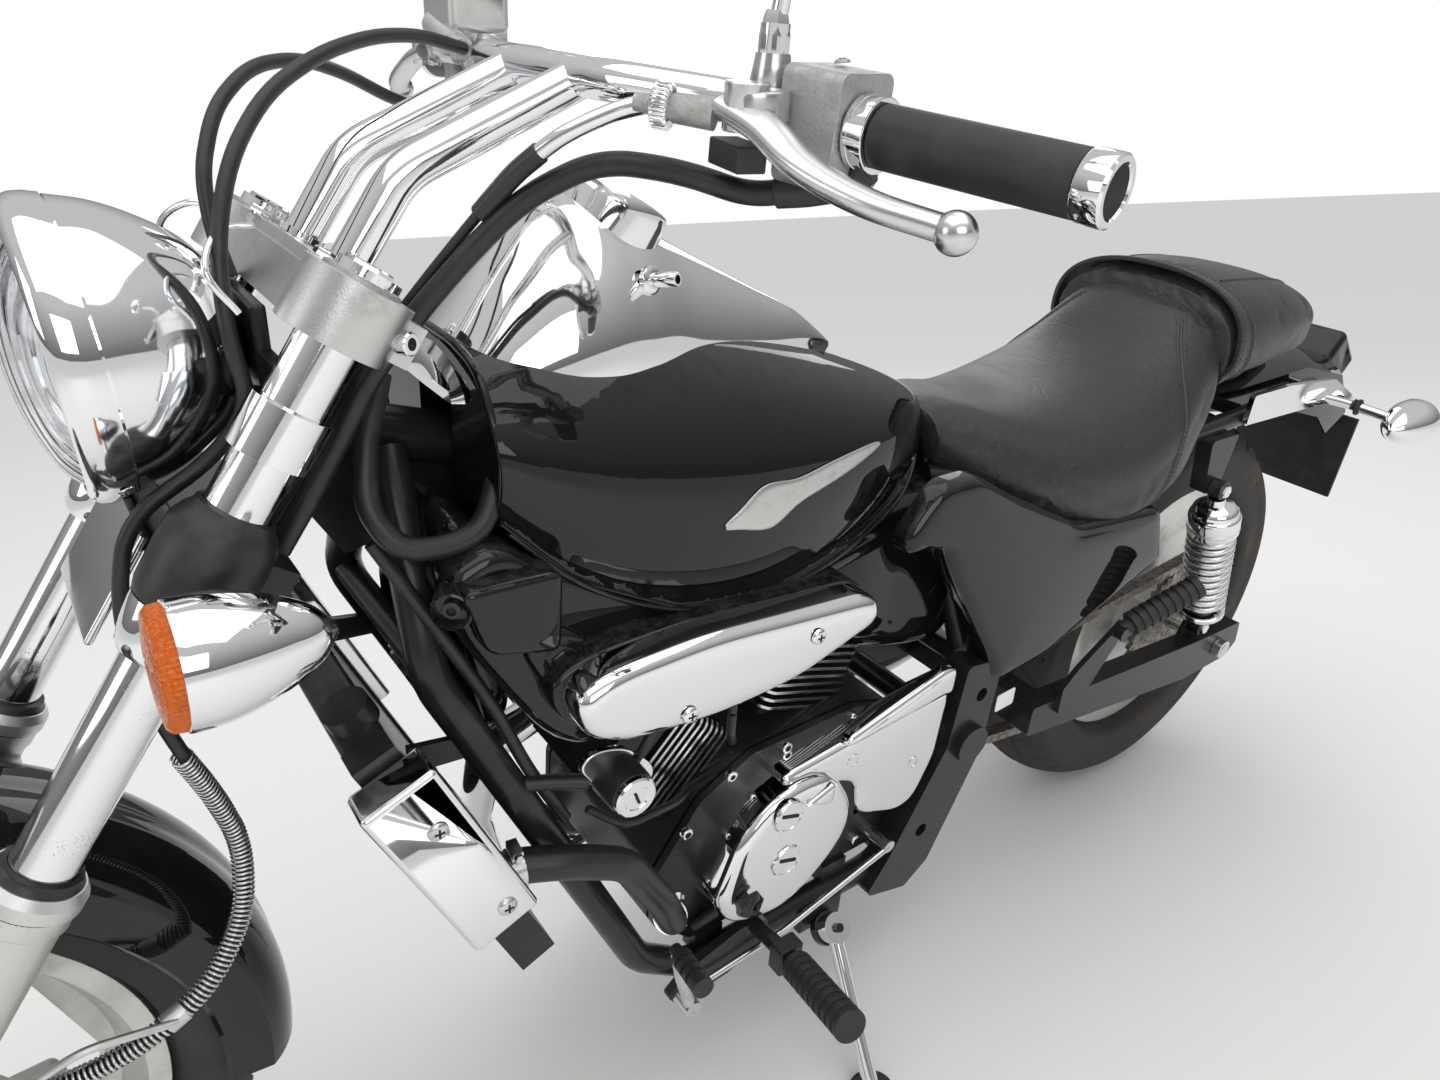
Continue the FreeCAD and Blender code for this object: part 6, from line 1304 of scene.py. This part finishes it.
    def clutch_fittings(self, metal, switch):
        """Cable adjuster with its knurled ring, the bent ferrule, its boots and the switch."""
        adjuster, line = (1019, 192, 1037), (0.62, -0.77, 0.06)
        metal.add(fluted(turned([(0, 12), (1, 13.2), (9, 13.2), (10, 12)], adjuster, line, 160), 32, 1.4), kind=2)
        metal.turn([(-26, 9), (-2, 8.4), (0, 7), (12, 7), (13, 5.5), (22, 5.2)], adjuster, line, 32, kind=1)
        ferrule = [(1006, 168, 1036.5), (1022, 157, 1034), (1042, 145, 1025), (1058, 135, 1015), (1070, 124, 1003)]
        metal.add(tube(ferrule, 5.4, 60, 20), kind=2)
        switch.add(tube([(1068, 126, 1005), (1078, 112, 991), (1086, 101, 977), (1094, 91, 963)], 6.6, 30, 20))
        switch.add(tube([(962, 223, 994), (948, 241, 998), (938, 256, 1004), (932, 268, 1014)], 10.2, 30, 20))
        switch.add(slab((986, 199, 1015), (0.1, 1, -0.06), (34, 20, 15)))

    def hose_guard(self):
        """A close coil about the brake hose: its path plus a turning radius square to it."""
        path = smooth(rounded(GUARDED_HOSE, 40, 6), GUARD_POINTS)
        angle = np.linspace(0, 2 * np.pi * GUARD_TURNS, GUARD_POINTS)[:, None]
        way = units(np.gradient(path, axis=0))
        beside = units(np.cross(way, LEFT))
        helix = path + GUARD_RADIUS * (np.cos(angle) * beside + np.sin(angle) * np.cross(way, beside))
        guard = Skin().add(swept(helix, circle(GUARD_WIRE, 6), up=(0.1, 1, 0.1)))
        guard.made("hose_guard_spring", "steel", STEERING, slot="polished_steel", crease=80)


# Engine

# Outlines in side view: (x, z)
GENERATOR = [(905, 300), (882, 258), (806, 244), (738, 300), (724, 350), (764, 412), (834, 414), (880, 372)]
GENERATOR_RIDGE = [(808, 388), (764, 404), (766, 374)]
SPROCKET_COVER = [(584, 436), (600, 442), (826, 420), (812, 404), (716, 366), (706, 314), (640, 288),
                  (612, 296), (588, 352)]
SPROCKET_RIDGE = [(584, 438), (584, 470), (600, 474), (742, 436), (738, 424)]
LOCK_PLATE = [(1046, 520), (1030, 534), (996, 524), (966, 488), (978, 468), (1012, 474)]
CASE_SCREWS = ((914, 240), (934, 300), (916, 372), (866, 422), (796, 428), (704, 428), (668, 236), (742, 226),
               (830, 226))
CLUTCH_AT, CLUTCH_SCREWS, CLUTCH_RING = (765, 318), 8, 70
LOCK_AT = (1010, 0, 501)
CRANK = np.array([790.0, 0, 318.0])
BANKS = {"front_cylinder": math.radians(47), "rear_cylinder": math.radians(-18)}
# Fins: length, width, and the heights of the lowest and of the highest above the crank
FIN_LONG, FIN_WIDE, FIN_DECK, FIN_TOP = 118.0, 176.0, 128.0, 209.0
# Loom, harness to the rectifier, spark leads, lock lead and breather: route, radius, rings, points of a ring
HOSES = (([(1150, 40, 850), (1172, 66, 806), (1178, 86, 768), (1166, 98, 748), (1140, 104, 742), (1112, 104, 748),
           (1092, 94, 772), (1076, 70, 800)], 8.6, 100, 20),
         ([(1178, 76, 742), (1146, 96, 676), (1108, 104, 596), (1076, 108, 514), (1046, 112, 452)], 5.5, 80, 16),
         ([(944, 92, 560), (962, 126, 540), (980, 134, 520), (992, 132, 500), (988, 118, 480)], 4.5, 60, 16),
         ([(850, 60, 560), (868, 112, 548), (880, 128, 520), (876, 124, 484), (862, 110, 458)], 4.5, 60, 16),
         ([(1030, 122, 462), (1000, 134, 440), (960, 130, 432), (930, 118, 420), (902, 100, 410)], 4.0, 60, 16),
         ([(900, 120, 236), (878, 132, 262), (872, 140, 292), (862, 150, 300)], 6.5, 40, 16))


def in_bank(node, points):
    """Machine points to a cylinder's own frame: along the fins, across, and up the bore."""
    turn = BANKS[node]
    p = np.asarray(points, float) - CRANK
    return np.stack([p[:, 0] * math.cos(turn) - p[:, 2] * math.sin(turn), p[:, 1],
                     p[:, 0] * math.sin(turn) + p[:, 2] * math.cos(turn)], -1)


class CRUISER_OT_engine(bpy.types.Operator):
    """Polished fin edges, the bright side covers, the ignition switch, hoses and leads"""
    bl_idname = "cruiser.engine"
    bl_label = "Engine"

    def execute(self, context):
        for node in BANKS:
            def polished(points, node=node):
                q = in_bank(node, points)
                rim = (np.abs(q[:, 0]) / (FIN_LONG / 2)) ** 6 + (np.abs(q[:, 1]) / (FIN_WIDE / 2)) ** 6
                return (rim > 0.86) & (q[:, 2] > FIN_DECK - 1) & (q[:, 2] < FIN_TOP - 1)
            dressed(node, "engine steel", 0.3, pick=polished)
        self.covers()
        self.lock()
        guard_screws = Skin()
        for side in SIDES:
            for x, z in ((1184, 562), (1134, 459)):
                screw(guard_screws, (x, 180.2 * side, z), (0, side, 0), 8)
        guard_screws.made("guard_screws", "steel void", CHASSIS, slot="chrome")
        self.plumbing()
        return {"FINISHED"}

    def covers(self):
        """Generator and sprocket covers on the left, clutch and pump covers on the right, and their screws."""
        covers = Skin()
        covers.add(pillow(loop(GENERATOR, 40), dome(112, 163, 13, 2.2), 180))
        covers.add(pillow(loop(GENERATOR_RIDGE, 10), dome(158, 168, 6, 1), 90))
        plug = [(-6, 19), (2.4, 19), (4, 17.6), (4, 16), (3, 15.4), (3, 0.1)]
        for x, z in ((826, 387), (822, 326)):
            covers.turn(plug, (x, 164, z), LEFT, 64)
            # A dark bar across each plug: painted shade standing for its slot.
            covers.add(slab((x - 11, 167.4, z - 3), (1, 0, 0.35), (22, 3.2, 1.2), up=LEFT), kind=1)
        covers.add(pillow(loop(SPROCKET_COVER, 20), dome(116, 149, 8, 1.0), 200))
        covers.add(pillow(loop(SPROCKET_RIDGE, 9), dome(140, 153, 6, 2), 120))
        for x, z in ((727, 402), (628, 356)):
            covers.turn([(0, 8.5), (1.4, 8.5), (1.4, 6), (-3, 6)], (x, 149, z), LEFT, 40, caps=False)
            # A dark disc in each hole: painted shade.
            covers.turn([(0.2, 6.2), (0.2, 0.1)], (x, 149, z), LEFT, 32, kind=1, caps=False)
        x, z = CLUTCH_AT
        clutch = [(116, 84), (146, 84), (154, 80), (158, 72), (158, 58), (155, 56), (155, 0.2)]
        covers.turn(clutch, (x, 0, z), RIGHT, 128)
        covers.turn([(116, 34), (140, 34), (145, 30), (146, 22), (146, 0.2)], (868, 0, 268), RIGHT, 80)
        for k in range(CLUTCH_SCREWS):
            turn = math.radians(22 + 45 * k)
            at = (x + CLUTCH_RING * math.cos(turn), -156, z + CLUTCH_RING * math.sin(turn))
            socket_screw(covers, at, RIGHT, 5, 4.5)
        for x, z in CASE_SCREWS:
            socket_screw(covers, (x, 115.5, z), LEFT, 6.5, 6)
        covers.made("engine_side_covers", "chrome void", CHASSIS, "engine_covers", crease=48)

    def lock(self):
        """Ignition switch: a bright plate, a black barrel, and a bright face with a key slot drawn as a dark bar,
        painted shade.
        """
        lock = Skin()
        lock.add(pillow(loop(LOCK_PLATE, 16), dome(128, 134, 1.6, 0), 96))
        lock.turn([(132, 22), (158, 21.5), (164, 20)], LOCK_AT, LEFT, 64, kind=1)
        face = [(158, 19.5), (169, 19.5), (170.6, 18), (170.6, 12), (169.6, 11), (169.6, 0.1)]
        lock.turn(face, LOCK_AT, LEFT, 64)
        # The key slot: a dark bar of painted shade.
        lock.add(slab((1007.5, 170.3, 495), (0.35, 0, 1), (12, 2.4, 0.9), up=LEFT), kind=2)
        lock.add(tube([(1096, 107, 508), (1062, 118, 504), (1034, 129, 500)], 7, 20, 20), kind=1)
        screw(lock, (982, 134.4, 486), LEFT, 4.6, dark=2)
        lock.made("ignition_switch", "chrome plastic void", CHASSIS, "ignition_lock")

    def plumbing(self):
        """Hose bands, spark leads and the loom that loops under the tank."""
        runs, bands = Skin(), Skin()
        for route, radius, rings, steps in HOSES:
            runs.add(tube(route, radius, rings, steps))
        elbow = [(0, 12), (16, 12.5), (22, 9), (34, 8.5), (36, 6)]
        runs.turn(elbow, (852, 150, 300), (0.5, 0.3, -0.8), 32)
        for at, way in (((958, 96, 540), (0.5, 0.8, 0.2)), ((862, 96, 548), (0.4, 0.85, 0.2))):
            runs.add(fluted(turned([(0, 9), (10, 10), (26, 9), (30, 6.5)], at, way, 48), 8, 0.8))
        runs.made("loom_and_leads", "hose", CHASSIS, slot="black_rubber")
        for at, way in (((1106, 136, 446), (1, -0.1, 0)), ((934, 124, 274), (0.4, 0.55, 0.7))):
            at = np.array(at, float)
            bands.turn([(-5, 16.4), (-5, 17.4), (5, 17.4), (5, 16.4)], at, way, 64)
            side, top = basis(way)
            bands.add(slab(at + top * 20 - side * 9, side, (18, 9, 7), up=top))
            hexagon(bands, at + top * 20 + side * 9, side, 4, 4, washer=False)
        bands.made("hose_bands", "steel", CHASSIS, slot="polished_steel")


# Shock absorbers and wheels

SHOCK_FOOT, SHOCK_HEAD = np.array([48.0, 152.0, 354.0]), np.array([118.0, 152.0, 584.0])
COIL_RADIUS, COIL_FROM, COIL_SHORT, POINTS_A_COIL = 31, 38, 68, 28
# Tyre grids: steps round the wheel, rings of the crown and of a wall
TYRE_STEPS, CROWN_RINGS, WALL_RINGS = 640, 61, 18
# Tread: groove depth in millimetres, slant and half width of the side grooves, an angle that no groove reaches,
# and the angles in radians where the side grooves begin and end and over which grooves fade out
GROOVE, SLANT, LUG_GAP, OFF_CROWN = 3.6, 2.1, 0.10, 9.0
SIDE_FROM, SIDE_TO, FADE, BAND_EDGE = 0.16, 0.86, 0.05, 0.012


class CRUISER_OT_springs(bpy.types.Operator):
    """Coil springs over their dampers, with bright collars"""
    bl_idname = "cruiser.springs"
    bl_label = "Springs"

    def execute(self, context):
        setup = context.scene.cruiser_finish
        wire, turns = setup.wire * 1000, setup.coils
        made = Skin()
        for side in SIDES:
            foot, head = SHOCK_FOOT * [1, side, 1], SHOCK_HEAD * [1, side, 1]
            length = np.linalg.norm(head - foot)
            way = (head - foot) / length
            collar = [(14, 9), (24, 17), (26, 29), (30, 31.5), (35, 31.5), (37, 28), (37, 18)]
            made.turn(collar, foot, way, 64, kind=1)
            made.turn([(30, 19), (length - 60, 19)], foot, way, 48, kind=2)
            top = length - COIL_SHORT
            cup = [(top, 26), (top, 31.2), (top + 3, 32.4), (top + 26, 32.4), (top + 30, 31), (top + 31, 29),
                   (top + 38, 28), (top + 43, 22), (top + 46, 12), (top + 54, 10)]
            made.turn(cup, foot, way, 72, kind=1)
            made.turn([(top + 8, 32.5), (top + 9, 32.9), (top + 11, 32.9), (top + 12, 32.5)], foot, way, 72)
            a, b = basis(way)
            low = COIL_FROM + wire
            u = np.linspace(0, 1, turns * POINTS_A_COIL)[:, None]
            angle = 2 * np.pi * turns * u
            round_it = np.cos(angle) * a + np.sin(angle) * b
            path = foot + way * (low + (top - wire - low) * u) + (COIL_RADIUS - wire) * round_it
            made.add(swept(path, circle(wire, 12), up=way))
            for point in (foot, head):
                made.turn([(-8, 12.5), (8, 12.5)], point, LEFT, 40, kind=2)
                made.turn([(8, 9), (11, 9), (13, 8)], point, (0, side, 0), 6, kind=1)
        made.made("coil_springs", "spring chrome engine", CHASSIS, "shock_absorbers", crease=50)
        return {"FINISHED"}


def ramp_up(values, start, width):
    """0 below start, rising to 1 over the width."""
    return np.clip((values - start) / width, 0, 1)


def tyre(name, node, body, at, outer, width, crown, bead, rim, edge, finish, bands, lugs):
    """Carcass and tread: depth cut where the tread pattern is open.

    Profile: beads, a bulged wall, then the crown arc r = R - c (1 - cos a), y = c sin a, out to the
    edge angle; slanted grooves lie where frac(lugs t + k |a|) is near a half, straight ones at the
    angles in bands."""
    edge = math.radians(edge)
    a = np.linspace(-edge, edge, CROWN_RINGS)
    tread = np.stack([outer - crown * (1 - np.cos(a)), crown * np.sin(a)], -1)
    wall = smooth([(bead + 0.4, rim / 2 - 6.4), (bead + 12.4, rim / 2 - 6.2), (bead + 22, width / 2 - 5),
                   (bead + (outer - bead) * 0.5, width / 2 - 0.3), (tread[-1, 0] - 4, tread[-1, 1] + 1.0),
                   tuple(tread[-1])], WALL_RINGS)[:-1]
    profile = np.vstack([wall * [1, -1], tread, wall[::-1]])
    off = np.full(len(wall), OFF_CROWN)
    lean = np.concatenate([-off, a, off])
    aside = np.abs(lean)
    t = np.linspace(0, 1, TYRE_STEPS, endpoint=False)[:, None]
    cut = np.zeros((TYRE_STEPS, len(profile)))
    for band, half in bands:
        cut = np.maximum(cut, ramp_up(half - np.abs(aside - band), 0, BAND_EDGE)[None])
    phase = (lugs * t + SLANT * aside[None] + np.where(lean > 0, 0.5, 0)[None]) % 1
    slant = ramp_up(LUG_GAP - np.abs(phase - 0.5), 0, FADE)
    reach = ramp_up(aside, SIDE_FROM, FADE) * ramp_up(-aside, -SIDE_TO, FADE)
    cut = np.maximum(cut, slant * reach) * ramp_up(-aside, -edge, FADE)
    radius = profile[None, :, 0] - GROOVE * cut
    turn = 2 * np.pi * t
    across_it = np.broadcast_to(profile[None, :, 1], radius.shape)
    grid = np.stack([radius * np.cos(turn), across_it, radius * np.sin(turn)], -1) + at
    Skin().add(grid.transpose(1, 0, 2), caps=False).made(name, finish, body, node, crease=32)


class CRUISER_OT_tyres(bpy.types.Operator):
    """Tyres with cut tread"""
    bl_idname = "cruiser.tyres"
    bl_label = "Tyres"

    def execute(self, context):
        tyre("front_tyre_tread", "front_tyre", FRONT_WHEEL, FRONT_AXLE, outer=304.0, width=110, crown=66, bead=216,
             rim=72, edge=57, finish="front_tread", bands=((0.0, 0.05), (0.34, 0.035)), lugs=44)
        tyre("rear_tyre_tread", "rear_tyre", REAR_WHEEL, REAR_AXLE, outer=310.0, width=150, crown=90, bead=190.5,
             rim=96, edge=56, finish="rear_tread", bands=((0.12, 0.03), (0.42, 0.03)), lugs=38)
        return {"FINISHED"}


class CRUISER_PT_panel(bpy.types.Panel):
    """Buttons for each group of pieces"""
    bl_idname = "CRUISER_PT_panel"
    bl_label = "Cruiser"
    bl_space_type = "VIEW_3D"
    bl_region_type = "UI"
    bl_category = "Cruiser"

    def draw(self, context):
        for kind in OPERATORS:
            self.layout.operator(kind.bl_idname)
        for group, names in ((context.scene.cruiser_finish, ("coils", "wire", "seat_swell")),
                             (context.scene.cruiser_stage, ("light", "floor"))):
            for name in names:
                self.layout.prop(group, name)


OPERATORS = (CRUISER_OT_rigid, CRUISER_OT_seats, CRUISER_OT_bodywork, CRUISER_OT_lamps, CRUISER_OT_controls,
             CRUISER_OT_engine, CRUISER_OT_springs, CRUISER_OT_tyres, CRUISER_OT_stage)
CLASSES = (CruiserStage, CruiserFinish) + OPERATORS + (CRUISER_PT_panel,)


def register():
    for kind in CLASSES:
        bpy.utils.register_class(kind)
    bpy.types.Scene.cruiser_stage = PointerProperty(type=CruiserStage)
    bpy.types.Scene.cruiser_finish = PointerProperty(type=CruiserFinish)


def unregister():
    del bpy.types.Scene.cruiser_stage
    del bpy.types.Scene.cruiser_finish
    for kind in reversed(CLASSES):
        bpy.utils.unregister_class(kind)


def main():
    """Makes every piece and the stage in order."""
    register()
    make_finishes()
    for kind in OPERATORS:
        group, name = kind.bl_idname.split(".")
        getattr(getattr(bpy.ops, group), name)()


if __name__ == "__main__":
    main()
